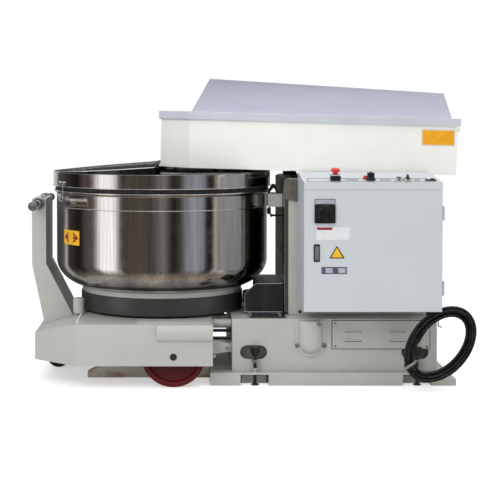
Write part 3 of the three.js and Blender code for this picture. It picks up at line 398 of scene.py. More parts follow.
def disc_section(radius, low, high):
    """Half the section of a round plate, sharp on the axis."""
    return [(0, low, 0), (radius, low), (radius, high), (0, high, 0)]


def ring_section(inner, outer, low, high):
    """Half the section of a ring."""
    return [(inner, low), (outer, low), (outer, high), (inner, high)]


def spun(points, edge, steps, segments):
    """An outline of (radius, height) points with its corners rounded, turned about Z."""
    return lathe(rounded(points, edge, steps), segments)


def slab(points, low, high, normal="Z", edge=0.0, segments=2):
    """An outline raised from low to high along an axis, with its edges rounded."""
    place = {"X": lambda u, v, w: (w, u, v), "Y": lambda u, v, w: (u, w, v),
             "Z": lambda u, v, w: (u, v, w)}[normal]
    form = bmesh.new()
    base = form.faces.new([form.verts.new(place(u, v, low)) for u, v in points])
    raised = bmesh.ops.extrude_face_region(form, geom=[base])
    shift = Vector(place(0, 0, high - low)) - Vector(place(0, 0, 0))
    moving = [v for v in raised["geom"] if isinstance(v, bmesh.types.BMVert)]
    bmesh.ops.translate(form, vec=shift, verts=moving)
    bmesh.ops.recalc_face_normals(form, faces=form.faces)
    if edge:
        rims = [e for e in form.edges if e.calc_face_angle(0) > math.radians(50)]
        bmesh.ops.bevel(form, geom=rims, offset=edge, segments=segments, affect="EDGES", profile=0.6)
    return form


def rectangle(x, z, corner=0.0, steps=4):
    points = [(x[0], z[0]), (x[1], z[0]), (x[1], z[1]), (x[0], z[1])]
    return rounded(points, corner, steps) if corner else points


def oblong(half_x, half_y, corner=0.0, steps=4):
    """A rectangle centred on the origin, given by its half sizes."""
    return rectangle((-half_x, half_x), (-half_y, half_y), corner, steps)


def bar(x, y, z, edge=0.002, segments=2):
    """A rounded block between two corners."""
    return slab(rectangle(x, y), z[0], z[1], "Z", edge, segments)


def turned_bar(direction, at, radius, span, edge=0.001, segments=32):
    """A round bar about an axis, from span[0] to span[1] along it, with its ends broken."""
    outline = rounded([(0, span[0], 0), (radius, span[0]), (radius, span[1]), (0, span[1], 0)], edge, 2)
    return placed(lathe(outline, segments), facing(direction, at))


def hex_bolt(at, direction, size=0.011, height=0.006, washer=True):
    """A hexagon head with broken corners on a washer."""
    head = lathe([(0, 0), (size, 0), (size, height * 0.8), (size * 0.86, height), (0, height)], 6)
    moved(head, 0, 0, 0.0012)
    disc = spun(disc_section(size * 1.35, 0, 0.0014), 0.0004, 1, 24)
    return placed(merged(head, disc) if washer else head, facing(direction, at))


def cap_screw(at, direction, size=0.008, height=0.005):
    """A round head with a socket in it."""
    outline = [(0, 0), (size, 0), (size, height * 0.7), (size * 0.8, height), (size * 0.5, height),
               (size * 0.45, height * 0.4), (0, height * 0.4)]
    return placed(lathe(outline, 20), facing(direction, at))


def tube(points, radius, sides=12, closed=False):
    """A round tube along points."""
    path = [Vector(p) for p in points]
    form = bmesh.new()
    rings = []
    up = Vector((0, 0, 1))
    count = len(path)
    for i, point in enumerate(path):
        ahead = path[(i + 1) % count] if closed or i + 1 < count else point
        behind = path[i - 1] if closed or i else point
        along = (ahead - behind).normalized()
        side = along.cross(up)
        side = side.normalized() if side.length > 0.05 else along.cross(Vector((0, 1, 0))).normalized()
        rise = side.cross(along)
        ring = [2 * math.pi * k / sides for k in range(sides)]
        rings.append([form.verts.new(point + (side * math.cos(a) + rise * math.sin(a)) * radius)
                      for a in ring])
    pairs = list(zip(rings, rings[1:])) + ([(rings[-1], rings[0])] if closed else [])
    for low, high in pairs:
        for k in range(sides):
            form.faces.new([low[k], low[(k + 1) % sides], high[(k + 1) % sides], high[k]])
    if not closed:
        form.faces.new(rings[0])
        form.faces.new(rings[-1])
    return form


def band_between(outer, inner, low, high):
    """A flat band between two outlines with the same number of points."""
    form = bmesh.new()
    loops = [[form.verts.new((u, v, height)) for u, v in line]
             for line, height in ((outer, low), (outer, high), (inner, high), (inner, low))]
    for a, b in zip(loops, loops[1:] + loops[:1]):
        for k in range(len(outer)):
            after = (k + 1) % len(outer)
            form.faces.new([a[k], a[after], b[after], b[k]])
    return form


def skin(node, width, material=None, second=None, where=None, segments=2):
    """The CAD node's own shape with its edges rounded as bent and painted sheet has them."""
    form = bmesh.new()
    form.from_mesh(frame["nodes"][node].data)
    bmesh.ops.remove_doubles(form, verts=form.verts, dist=2e-5)
    bmesh.ops.dissolve_limit(form, angle_limit=math.radians(0.6), verts=form.verts, edges=form.edges)
    if where is not None:
        for face in form.faces:
            face.material_index = 1 if where(face) else 0
    slot = SLOT_OF[node]
    materials = [material or FINISH[slot]] + ([second] if second else [])
    made = instead_of(node, form, materials, smooth=40, weighted=False)
    bevel = made.modifiers.new("rounded_edges", "BEVEL")
    bevel.width = width
    bevel.segments = segments
    bevel.limit_method = "ANGLE"
    bevel.angle_limit = math.radians(44)
    bevel.use_clamp_overlap = True
    made.modifiers.new("flat_faces", "WEIGHTED_NORMAL").keep_sharp = True
    return made


# ---------------------------------------------------------------- mains cable
CORD_R = 0.007
COIL_CENTRE = Vector((0.599, -0.587, 0.207))
COIL_LONG, COIL_SHORT = 0.187, 0.133
COIL_LEAN = math.radians(40)
LEAD = [(0.560, -0.545, 0.321), (0.560, -0.545, 0.300), (0.554, -0.545, 0.280), (0.542, -0.547, 0.258),
        (0.526, -0.549, 0.236), (0.514, -0.551, 0.214)]
# Where each turn lies in the bundle: how far in from its outer edge, and towards the back.
BUNDLE = [(0.008, 0.012), (0.008, -0.012), (0.025, -0.012), (0.025, 0.012), (0.042, 0.012), (0.042, -0.012)]
FIRST_TURN = 0.575               # as a share of a turn, where the lead meets the bundle
STEPS_PER_TURN = 32
TAIL = 0.25
TIE_AT = 0.683                   # where the tie holds the bundle, at its lower left
TIE_INSET = 0.026                # the middle of the bundle, in from its outer edge
TIE_WIDTH = 0.012
JOINING = 0.35                   # the share of a turn over which the lead swings into the bundle
GLAND_NUT_H = 0.0138


def coil_point(turn, inset, depth):
    angle = 2 * math.pi * turn
    across, along = (COIL_SHORT - inset) * math.cos(angle), (COIL_LONG - inset) * math.sin(angle)
    return COIL_CENTRE + Vector((across * math.cos(COIL_LEAN) + along * math.sin(COIL_LEAN), depth,
                                 along * math.cos(COIL_LEAN) - across * math.sin(COIL_LEAN)))


def smooth_step(t):
    t = max(0.0, min(1.0, t))
    return t * t * (3 - 2 * t)


def coil_route():
    """From the end of the lead into the outer back turn, and on inwards turn by turn."""
    points = []
    turns = len(BUNDLE) - 1
    for step in range(1, int((turns + TAIL) * STEPS_PER_TURN) + 1):
        t = step / STEPS_PER_TURN
        index = min(int(t), turns - 1)
        share = min(t - index, 1.0)
        here, after = BUNDLE[index], BUNDLE[index + 1]
        inset = here[0] + (after[0] - here[0]) * share
        depth = here[1] + (after[1] - here[1]) * share
        if t < JOINING:
            inset += (0.035 - inset) * (1 - smooth_step(t / JOINING / 0.6))
            depth += (0.036 - depth) * (1 - smooth_step(t / JOINING))
        points.append(coil_point(FIRST_TURN + t, inset, depth))
    return points


def make_cord_curve(points):
    curve = bpy.data.curves.new("mains_cable", "CURVE")
    curve.dimensions = "3D"
    curve.bevel_depth = CORD_R
    curve.bevel_resolution = 5
    curve.use_fill_caps = True
    curve.resolution_u = 4
    spline = curve.splines.new("BEZIER")
    spline.bezier_points.add(len(points) - 1)
    for knot, point in zip(spline.bezier_points, points):
        knot.co = point
        knot.handle_left_type = knot.handle_right_type = "AUTO"
    cable = bpy.data.objects.new("mains_cable", curve)
    bpy.context.collection.objects.link(cable)
    curve.materials.append(CABLE_BLACK)
    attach(cable, "root")
    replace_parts(cable, "cable_lead", "cable_coil")
    return cable


def make_strain_relief():
    """The gland's nut and the ribbed sleeve that tapers under it."""
    low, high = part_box("cable_gland")
    middle = (low + high) / 2
    seat = (middle.x, middle.y, high.z - GLAND_NUT_H)
    nut = lathe([(0, 0), (0.014, 0), (0.015, 0.002), (0.015, 0.0118), (0.014, GLAND_NUT_H), (0, GLAND_NUT_H)],
                6)
    placed(nut, Matrix.Translation(seat))
    ribs = [(0, 0.0), (0.0125, 0.0)]
    for k in range(7):
        drop = -0.004 - k * 0.006
        wide = 0.0118 - k * 0.0005
        ribs += [(wide, drop + 0.002), (wide, drop - 0.0015), (wide - 0.0012, drop - 0.0022)]
    ribs += [(0.0078, -0.047), (0, -0.047)]
    relief = placed(lathe(ribs, 32), Matrix.Translation(seat))
    return instead_of("cable_gland", merged(nut, relief), BLACK, name="strain_relief")


def make_cable_tape():
    """The pale tie round the bundle."""
    middle = coil_point(TIE_AT, TIE_INSET, 0)
    ahead = (coil_point(TIE_AT + 0.01, TIE_INSET, 0) - coil_point(TIE_AT - 0.01, TIE_INSET, 0)).normalized()
    outline = rounded(oblong(0.0265, 0.0245), 0.010, 4)
    inner = [(u * 0.955, v * 0.955) for u, v in outline]
    half = TIE_WIDTH / 2
    band = band_between(outline, inner, -half, half)
    inward = (COIL_CENTRE - middle).normalized()
    turn = Matrix((inward, Y, ahead)).transposed().to_4x4()
    placed(band, Matrix.Translation(coil_point(TIE_AT, TIE_INSET - 0.001, 0)) @ turn)
    return piece("cable_tape", band, PALE_TAPE, "root")


def make_cable():
    points = [Vector(p) for p in LEAD] + coil_route()
    cable = make_cord_curve(points)
    make_strain_relief()
    make_cable_tape()


make_cable()

# ---------------------------------------------------------------- places taken from the frame
bowl_low, bowl_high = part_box("mixing_bowl")
BOWL_X = (bowl_low.x + bowl_high.x) / 2
RIM_R = (bowl_high.x - bowl_low.x) / 2
RIM_Z, FLOOR_Z = bowl_high.z, bowl_low.z
BOWL_R = RIM_R - 0.012


def middle_of(node):
    low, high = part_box(node)
    return (low + high) / 2


PIVOT = middle_of("head_pivot_shaft")
HEAD_TILT = math.radians(1.6)
HEAD_FRAME = Matrix.Translation((PIVOT.x, 0, PIVOT.z)) @ Matrix.Rotation(HEAD_TILT, 4, "Y")
HEAD_BASE = 0.066                # the head's lower edge above the pivot, square to the head
HEAD_HALF = 0.300
LIP_Z = HEAD_BASE + 0.219
door_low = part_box("cabinet_door")[0]
console_low, console_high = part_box("control_console")
column_low, column_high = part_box("column_housing")
base_low, base_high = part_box("base_housing")
LEVELLING_BOLTS = [f"levelling_bolt_{end}_{side}" for end in ("front", "rear") for side, _ in SIDES]


# ---------------------------------------------------------------- sheet metal and castings from the CAD
def head_local(point):
    return HEAD_FRAME.inverted() @ point


def round_off_sheet_metal():
    widths = {"base_plinth": 0.003, "base_housing": 0.005, "drive_wheel_guard": 0.0015,
              "column_housing": 0.006, "bowl_guide_bracket": 0.003, "guide_rail_near": 0.003,
              "guide_rail_far": 0.003, "trolley_frame": 0.004, "handle_post": 0.006, "head_base_plate": 0.002,
              "cabinet_box": 0.003, "cabinet_door": 0.003, "control_console": 0.003,
              "hydraulic_power_pack": 0.006, "electrical_panel": 0.003, "louvre_panel": 0.001,
              "caster_fork": 0.002, "lift_barrel": 0.002, "bowl_cover_plate": 0.0012,
              "head_pivot_shaft": 0.002, "lid_hinge_rod": 0.001}
    for node, width in widths.items():
        skin(node, width)
    skin("column_front_plate", 0.004, MIRROR_DARK_REFLECTION)
    skin("head_hood", 0.004, SHADED_HOOD_STEEL)
    skin("latch_hook", 0.002, CREAM)
    skin("trolley_axle", 0.002, IRON)
    skin("head_body", 0.004, LIT_CREAM, LIP_STEEL,
         lambda face: head_local(face.calc_center_median()).z > LIP_Z - 1e-4)


round_off_sheet_metal()


# ---------------------------------------------------------------- bowl and its ring
def ellipse(centre, radii, start, end, steps):
    turn = [math.radians(start + (end - start) * k / steps) for k in range(steps + 1)]
    return [(centre[0] + radii[0] * math.cos(a), centre[1] + radii[1] * math.sin(a)) for a in turn]


def at_bowl(form):
    return moved(form, BOWL_X, 0, 0)


BOWL_WALL = 0.004
KNUCKLE_H = 0.135                # height of the curve between the bowl's floor and its wall
BOWL_FLOOR_R = 0.295


def make_bowl():
    centre = (BOWL_FLOOR_R, FLOOR_Z + KNUCKLE_H)
    outside = ellipse(centre, (BOWL_R - BOWL_FLOOR_R, KNUCKLE_H), 270, 360, 24)
    inside = ellipse(centre, (BOWL_R - BOWL_FLOOR_R - BOWL_WALL, KNUCKLE_H - BOWL_WALL), 360, 270, 24)
    bead = [(BOWL_R + 0.0012 * math.sin(math.pi * k / 6), 0.768 + 0.004 * k / 6) for k in range(7)]
    bead = [(BOWL_R, 0.767), *bead, (BOWL_R, 0.773)]
    rim = ellipse((RIM_R - 0.005, RIM_Z - 0.005), (0.005, 0.005), -60, 90, 8)
    profile = [(0, FLOOR_Z), *outside, *bead, (BOWL_R, RIM_Z - 0.0165), (BOWL_R, RIM_Z - 0.0155),
               (BOWL_R + 0.003, RIM_Z - 0.012), *rim,
               (BOWL_R - BOWL_WALL + 0.002, RIM_Z), (BOWL_R - BOWL_WALL, RIM_Z - 0.002), *inside,
               (0, FLOOR_Z + BOWL_WALL)]
    instead_of("mixing_bowl", at_bowl(lathe(profile, 192)), MIRROR, smooth=50)


def make_bowl_drive_ring():
    low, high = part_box("bowl_drive_ring")
    outer = (high.x - low.x) / 2
    ring = rounded([(0, low.z + 0.012, 0), (0.064, low.z + 0.012), (0.064, high.z - 0.014),
                    (0.336, high.z - 0.014), (0.340, low.z), (outer, low.z), (outer, high.z), (0, high.z, 0)],
                   0.003, 3)
    instead_of("bowl_drive_ring", at_bowl(lathe(ring, 160)))


def under_bowl(r):
    """The height just under the bowl's curve at a radius."""
    share = (r - BOWL_FLOOR_R) / (BOWL_R - BOWL_FLOOR_R)
    return FLOOR_Z + KNUCKLE_H - KNUCKLE_H * math.sqrt(1 - share ** 2) - 0.0006


def make_bowl_base_ring():
    low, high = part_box("bowl_base_ring")
    outer = (high.x - low.x) / 2
    top = [(r, under_bowl(r)) for r in (outer - 0.001, 0.355, 0.335, 0.315, BOWL_FLOOR_R)]
    foot = [(0.286, low.z), (outer - 0.002, low.z), (outer, low.z + 0.002), (outer, top[0][1] - 0.002), *top,
            (0.286, FLOOR_Z - 0.0006)]
    instead_of("bowl_base_ring", at_bowl(lathe(foot, 160)))


def make_turntable_bearing():
    low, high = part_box("turntable_bearing")
    race = rounded([(0, low.z, 0), (0.120, low.z), (0.120, low.z + 0.0117), (0.070, high.z), (0, high.z, 0)],
                   0.002, 2)
    instead_of("turntable_bearing", at_bowl(lathe(race, 64)))


LABEL_TURN = (math.radians(-153), math.radians(-137.3))
LABEL_Z = (0.606, 0.671)


def make_rotation_label():
    """A yellow plate with two plain arrows, curved to the bowl."""
    (first, last), (low, high) = LABEL_TURN, LABEL_Z

    def curved(u, v, lift):
        angle = first + (last - first) * u
        radius = BOWL_R + lift
        return Vector((BOWL_X + radius * math.cos(angle), radius * math.sin(angle), low + (high - low) * v))

    def patch(corners, lift, thickness=0.0004):
        form = bmesh.new()
        columns = []
        (u0, u1), (edge0, edge1) = corners
        steps = 10
        for k in range(steps + 1):
            t = k / steps
            u = u0 + (u1 - u0) * t
            bottom, top = edge0(t), edge1(t)
            columns.append([form.verts.new(curved(u, v, lift + h)) for v in (bottom, top)
                            for h in (0, thickness)])
        for a, b in zip(columns, columns[1:]):
            for i, j in ((1, 3), (3, 2), (2, 0), (0, 1)):
                form.faces.new([a[i], a[j], b[j], b[i]])
        for column in (columns[0], columns[-1]):
            form.faces.new([column[0], column[1], column[3], column[2]])
        return form

    plate = patch(((0, 1), (lambda t: 0.0, lambda t: 1.0)), 0.0002)
    piece("rotation_label", plate, YELLOW_LABEL, "bowl")
    arrows = []
    for tip, tail in ((0.04, 0.36), (0.96, 0.64)):
        for way in (-1, 1):
            arrows.append(patch(((tip, tail), (lambda t: 0.5 + way * max(0.0, t - 0.42) * 0.38,
                                               lambda t: 0.5 + way * 0.38 * t)), 0.0007))
        arrows.append(patch(((tip + (tail - tip) * 0.3, tail), (lambda t: 0.42, lambda t: 0.58)), 0.0009))
    piece("rotation_arrows", merged(*arrows), RED_LABEL, "bowl")


def make_cover_band():
    low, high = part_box("bowl_cover_ring")
    outer = (high.x - low.x) / 2
    hem = low.z + 0.005
    band = rounded(ring_section(outer - 0.004, outer, hem, high.z), 0.0018, 3)
    rolled = [(outer - 0.0002 + 0.002 * math.cos(a), hem + 0.0025 + 0.0025 * math.sin(a))
              for a in (math.radians(d) for d in range(-90, 91, 30))]
    rolled += [(outer - 0.003, hem + 0.005), (outer - 0.003, hem)]
    instead_of("bowl_cover_ring", at_bowl(merged(lathe(band, 192), lathe(rolled, 192))))


def make_ring_seal():
    low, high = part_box("ring_seal")
    inner = 0.488
    top = high.z + 0.005
    seal = rounded(ring_section(inner, 0.5015, low.z, top), 0.0015, 3)
    instead_of("ring_seal", at_bowl(lathe(seal, 160)))


def make_lid():
    """The black front half of the cover: a shallow well with a bright rim."""
    low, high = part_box("bowl_lid")
    edge = high.x - BOWL_X
    radius = (high.y - low.y) / 2
    slope = 0.068

    def top(x):
        return max(low.z + 0.001, high.z + (x - edge) * slope)

    first = math.acos(edge / radius)
    outline = [(radius * math.cos(a), radius * math.sin(a))
               for a in (first + (2 * math.pi - 2 * first) * k / 120 for k in range(121))]
    form = bmesh.new()
    under = [form.verts.new((u, v, low.z)) for u, v in outline]
    over = [form.verts.new((u, v, top(u) - 0.001)) for u, v in outline]
    inner = [form.verts.new((u * 0.985, v * 0.985, top(u * 0.985) - 0.0005)) for u, v in outline]
    well = [form.verts.new((u * 0.965, v * 0.965, top(u * 0.965) - 0.004)) for u, v in outline]
    for a, b in ((under, over), (over, inner), (inner, well)):
        for k in range(len(outline)):
            after = (k + 1) % len(outline)
            form.faces.new([a[k], a[after], b[after], b[k]])
    form.faces.new(under)
    form.faces.new(well)
    instead_of("bowl_lid", at_bowl(form), GLOSS, smooth=30)
    rim = [Vector((u, v, top(u))) for u, v in outline]
    rim_line = at_bowl(tube(rim, 0.0022, 8, closed=True))
    piece("lid_rim", rim_line, CHROME, "lid")


def make_cover_clip():
    low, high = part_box("bowl_cover_ring")
    outer = (high.x - low.x) / 2
    angle = math.radians(208)
    out = Vector((math.cos(angle), math.sin(angle), 0))
    side = Vector((-out.y, out.x, 0))
    anchor = Vector((BOWL_X, 0, 0)) + out * (outer + 0.0045)
    clip = [anchor + side * s + Z * h for s, h in ((-0.022, 0.880), (-0.022, 0.812), (-0.014, 0.800),
                                                     (0.014, 0.800), (0.022, 0.812), (0.022, 0.880))]
    eyes = [turned_bar(out, anchor + side * s + Z * 0.882 - out * 0.006, 0.008, (0, 0.008), 0.002, 20)
            for s in (-0.022, 0.022)]
    piece("cover_clip", merged(tube(clip, 0.0026, 10), *eyes), CHROME, "head")


make_bowl()
make_bowl_drive_ring()
make_bowl_base_ring()
make_turntable_bearing()
make_rotation_label()
make_cover_band()
make_ring_seal()
make_lid()
make_cover_clip()


# ---------------------------------------------------------------- spiral, bar and belt drive
def middle_x(node):
    low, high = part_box(node)
    return (low.x + high.x) / 2


def make_spiral():
    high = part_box("spiral_tool")[1]
    axis_x = middle_x("spiral_pulley")
    path_r, rod_r = 0.170, 0.027

    def helix(t):
        reach = min(1, t / 0.16)
        tail = max(0, (t - 0.86) / 0.14)
        radius = path_r * math.sin(reach * math.pi / 2) * (1 - 0.35 * tail * tail)
        angle = math.radians(40 + 470 * t)
        height = 0.800 - 0.020 * reach - 0.340 * max(0, t - 0.08) / 0.92
        return Vector((axis_x + radius * math.cos(angle), radius * math.sin(angle), height))

    form = tube([helix(k / 150) for k in range(151)], rod_r * 0.985, 24)
    tip = helix(1)
    ahead = (helix(1) - helix(0.99)).normalized()
    cap = [(rod_r * 0.985 * math.cos(a), rod_r * 0.5 * math.sin(a))
           for a in (math.radians(d) for d in range(0, 91, 15))]
    nose = placed(lathe([(0, -0.001), *cap[:-1], (0, rod_r * 0.5)], 24), facing(ahead, tip - ahead * 0.0135))
    shaft = spun(disc_section(0.034, 0.766, high.z), 0.003, 3, 64)
    moved(shaft, axis_x, 0, 0)
    instead_of("spiral_tool", merged(form, nose, shaft), MIRROR, smooth=50)


def make_pulleys():
    low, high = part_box("spiral_pulley")
    large = grooved_pulley(0.190, 0.0222, low.z, high.z)
    instead_of("spiral_pulley", moved(large, middle_x("spiral_pulley"), 0, 0))
    low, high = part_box("motor_pulley")
    small = grooved_pulley(0.050, 0.004, low.z, low.z + 0.0415)
    stub = spun(disc_section(0.016, low.z + 0.03, high.z), 0.001, 2, 32)
    instead_of("motor_pulley", moved(merged(small, stub), middle_x("motor_pulley"), 0, 0))


def make_spiral_motor():
    low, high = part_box("spiral_motor")
    fins = finned_body(0.105, (low.z + 0.110, high.z), 36)
    seat = bar((-0.150, 0.150), (-0.130, 0.130), (low.z + 0.098, low.z + 0.106), 0.002)
    posts = [turned_bar(Z, (u, v, 0), 0.010, (low.z, low.z + 0.1), 0.001, 16)
             for u in (-0.140, 0.140) for v in (-0.120, 0.120)]
    casing = merged(fins, seat, *posts)
    instead_of("spiral_motor", moved(casing, middle_x("motor_pulley"), 0, 0), smooth=25)


def make_belt():
    form = bmesh.new()
    form.from_mesh(frame["nodes"]["drive_belt"].data)
    bmesh.ops.remove_doubles(form, verts=form.verts, dist=2e-5)
    instead_of("drive_belt", form, RUBBER)


def grooved_pulley(radius, bore, low, high):
    """A belt pulley with its grooves and a dished web."""
    grooves = []
    count = 5
    pitch = (high - low - 0.006) / count
    for k in range(count):
        at = low + 0.003 + k * pitch
        grooves += [(radius, at), (radius - 0.005, at + pitch * 0.45), (radius - 0.005, at + pitch * 0.55)]
    hub = min(radius * 0.6, bore + 0.016)
    profile = [(bore, low), (radius, low), *grooves, (radius, high), (radius - 0.010, high),
               (radius - 0.014, low + 0.016), (hub + 0.004, low + 0.016), (hub, high), (bore, high)]
    return lathe(profile, 96)


def finned_body(radius, span, count):
    """A motor's casing with cooling fins, and a plain bell at each end."""
    points = []
    for k in range(count):
        for share, reach in ((0.0, 0.93), (0.22, 0.93), (0.28, 1.0), (0.72, 1.0), (0.78, 0.93)):
            angle = 2 * math.pi * (k + share) / count
            points.append((radius * reach * math.cos(angle), radius * reach * math.sin(angle)))
    core = slab(points, span[0] + 0.012, span[1] - 0.028)
    foot = spun([(0, span[0], 0), (radius, span[0]), (radius, span[0] + 0.012), (0, span[0] + 0.012, 0)],
                0.003, 2, 64)
    cowl = spun([(0, span[1] - 0.028, 0), (radius, span[1] - 0.028), (radius * 0.97, span[1]),
                 (0, span[1], 0)], 0.008, 3, 64)
    return merged(core, foot, cowl)


def make_breaker():
    low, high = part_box("dough_breaker_bar")
    x = (low.x + high.x) / 2
    profile = rounded([(0, low.z, 0), (0.024, low.z, 0.008), (0.024, high.z - 0.015, 0.003),
                       (0.050, high.z - 0.015), (0.050, high.z), (0, high.z, 0)], 0.0015, 4)
    form = moved(lathe(profile, 64), x, 0, 0)
    instead_of("dough_breaker_bar", form, MIRROR, smooth=40)


RAM_FOOT, RAM_EYE = Vector((0.060, 0, 0.140)), Vector((0.160, 0, 0.893))


def make_lift_rod():
    foot, eye = RAM_FOOT, RAM_EYE
    along = (eye - foot).normalized()
    reach = (eye - foot).length
    rod = turned_bar(along, foot, 0.020, (0.060, reach - 0.029), 0.002, 40)
    ring = rounded(ring_section(0.0282, 0.036, -0.018, 0.018), 0.0015, 2)
    head = placed(lathe(ring, 48), facing(Y, eye))
    instead_of("lift_rod", merged(rod, head), CHROME)
    wiper = rounded([(0.0206, 0.430), (0.0335, 0.430), (0.030, 0.436), (0.0206, 0.436)], 0.001, 2)
    piece("rod_wiper", placed(lathe(wiper, 40), facing(along, foot)), RUBBER, "lift_cylinder")


def make_bowl_drive():
    low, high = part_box("bowl_drive_wheel")
    x = (low.x + high.x) / 2
    r = (high.x - low.x) / 2
    tyre = rounded(ring_section(0.066, r - 0.001, 0.304, 0.362), 0.004, 3)
    treads = lathe(tyre, 96)
    instead_of("bowl_drive_wheel", moved(treads, x, 0, 0), RUBBER)
    hub = [(0, low.z), (0.012, low.z), (0.012, 0.306), (0.0655, 0.306), (0.0655, 0.360), (0.030, 0.360),
           (0.030, high.z - 0.001), (0.028, high.z), (0, high.z)]
    bolts = [cap_screw((0.046 * math.cos(a), 0.046 * math.sin(a), 0.360), Z, 0.006, 0.005)
             for a in (math.pi * k / 3 for k in range(6))]
    form = moved(merged(lathe(hub, 48), *bolts), x, 0, 0)
    piece("drive_wheel_hub", form, IRON, "drive_wheel")
    low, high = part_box("bowl_drive_motor")
    body = finned_body(0.088, (low.z, 0.225), 30)
    ring = rounded(ring_section(0.0128, 0.040, 0.224, high.z), 0.002, 2)
    form = merged(body, lathe(ring, 48))
    instead_of("bowl_drive_motor", moved(form, x, 0, 0), smooth=25)


make_spiral()
make_pulleys()
make_spiral_motor()
make_belt()
make_breaker()
make_lift_rod()
make_bowl_drive()


# ---------------------------------------------------------------- wheels, handle and docking
def make_road_wheels():
    for side, sign in SIDES:
        node = f"trolley_wheel_{side}"
        low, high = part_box(node)
        r, half = (high.z - low.z) / 2, (high.y - low.y) / 2
        outline = [(0.0156, -half, 0), (0.042, -half), (0.047, -0.012), (r - 0.027, -0.012),
                   (r - 0.021, -half), (r, -half), (r, half), (r - 0.021, half), (r - 0.027, 0.012),
                   (0.047, 0.012), (0.042, half), (0.0156, half, 0)]
        form = placed(spun(outline, 0.004, 3, 128), facing(Y, middle_of(node)))
        instead_of(node, form, RED_WHEEL)
        face = middle_of(node) + Y * sign * (half + 0.001)
        ring = placed(spun(ring_section(0.0158, 0.027, 0, 0.004), 0.001, 2, 40), facing(Y * sign, face))
        screws = [cap_screw(face + Vector((0.034 * math.cos(a), 0, 0.034 * math.sin(a))), Y * sign, 0.004,
                            0.003) for a in (math.pi * k / 3 for k in range(6))]
        piece(f"wheel_hub_{side}", merged(ring, *screws), IRON, f"wheel_{side}")


def make_caster():
    low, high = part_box("caster_wheel")
    r, half = (high.z - low.z) / 2, (high.y - low.y) / 2
    tread = rounded(ring_section(r - 0.016, r, -half, half), 0.006, 4)
    disc = rounded([(0.0064, -half, 0), (0.014, -half), (0.016, -0.008), (r - 0.0162, -0.010),
                    (r - 0.0162, 0.010), (0.016, 0.008), (0.014, half), (0.0064, half, 0)], 0.002, 2)
    place = facing(Y, middle_of("caster_wheel"))
    instead_of("caster_wheel", placed(lathe(tread, 64), place), RUBBER)
    piece("caster_disc", placed(lathe(disc, 64), place), IRON, "caster_roller")
    balls = rounded([(0.0005, 0.1225), (0.037, 0.1225), (0.0385, 0.1245), (0.037, 0.1262), (0.0005, 0.1262)],
                    0.0005, 1)
    race = moved(lathe(balls, 48), -1.064, 0, -0.0004)
    piece("caster_race", race, SATIN, "caster")


def make_push_bar():
    low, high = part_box("push_bar")
    at = (low + high) / 2
    r = (high.z - low.z) / 2
    span = (high.y - low.y) / 2
    outline = rounded([(0, -span, 0), (r, -span), (r, -span + 0.010), (r - 0.002, -span + 0.010),
                       (r - 0.002, span - 0.010), (r, span - 0.010), (r, span), (0, span, 0)], 0.002, 3)
    bolts = [hex_bolt((at.x, sign * span, at.z), Y * sign, 0.0095, 0.0065) for _, sign in SIDES]
    bar_form = placed(lathe(outline, 48), facing(Y, at))
    instead_of("push_bar", merged(bar_form, *bolts), CHROME)
    for side, sign in SIDES:
        collar = rounded([(r + 0.0006, 0), (0.032, 0), (0.032, 0.006), (0.027, 0.008), (0.027, 0.022),
                          (r + 0.0006, 0.022)], 0.0015, 2)
        form = placed(lathe(collar, 48), facing(Y * sign, (at.x, sign * 0.1502, at.z)))
        trim(f"bar_collar_{side}", form, SATIN)


DECK_TOP = 0.2836
DOCK_Y, DOCK_GAP = -0.300, (-0.3705, -0.2835)


def make_post_foot():
    """A round boss on the deck behind the folded post, and a bead in the whiter head paint along the deck's
    front fold as a painted highlight.
    """
    boss = spun(disc_section(0.025, DECK_TOP, 0.357), 0.010, 4, 64)
    trim("deck_boss", moved(boss, -0.978, -0.208, 0), CREAM)
    # Painted highlight: a bead in the whiter head paint along the deck's front fold.
    for side, sign in SIDES:
        fold_highlight = [Vector((-0.963 + 0.0008 * math.sin(9 * k), sign * (0.160 + 0.32 * k / 40), 0.2835))
                for k in range(41)]
        piece(f"deck_fold_highlight_{side}", tube(fold_highlight, 0.0055, 10), LIT_CREAM, "root")


def make_hook_trim():
    at = Vector((-0.301, -0.4042, 0.158))
    washer = placed(spun(ring_section(0.0035, 0.0085, 0, 0.0022), 0.0006, 2, 32), facing(-Y, at))
    trim("hook_pin_ring", washer, CHROME)


def make_levelling_bolts():
    for node in LEVELLING_BOLTS:
        low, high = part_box(node)
        at = Matrix.Translation(((low.x + high.x) / 2, (low.y + high.y) / 2, 0))
        thread = [(0, 0.006)]
        for k in range(44):
            rise = 0.010 + k * 0.0026
            thread += [(0.0080, rise), (0.0068, rise + 0.0013)]
        stem = lathe([*thread, (0.0068, 0.1285), (0, 0.1285)], 24)
        foot = spun([(0, low.z, 0), (0.017, low.z), (0.017, low.z + 0.005), (0.010, low.z + 0.0078),
                     (0, low.z + 0.0078, 0)], 0.001, 2, 40)
        nuts = [lathe([(0, z), (0.0145, z), (0.0155, z + 0.002), (0.0155, z + 0.010), (0.0145, z + 0.012),
                       (0, z + 0.012)], 6) for z in (0.060, 0.100)]
        lobes = []
        for k in range(72):
            angle = 2 * math.pi * k / 72
            reach = 0.0192 + 0.0030 * math.cos(5 * angle)
            lobes.append((reach * math.cos(angle), reach * math.sin(angle)))
        knob = slab(lobes, 0.140, high.z, "Z", 0.003, 3)
        neck = spun([(0, 0.1288, 0), (0.012, 0.1288), (0.014, 0.141), (0, 0.141, 0)], 0.001, 2, 32)
        head = merged(knob, neck)
        instead_of(node, placed(merged(stem, foot), at.copy()), IRON)
        piece(f"{node}_nuts", placed(merged(*nuts), at.copy()), SATIN, BODY_OF[node])
        piece(f"{node}_head", placed(head, at.copy()), BLACK, BODY_OF[node])


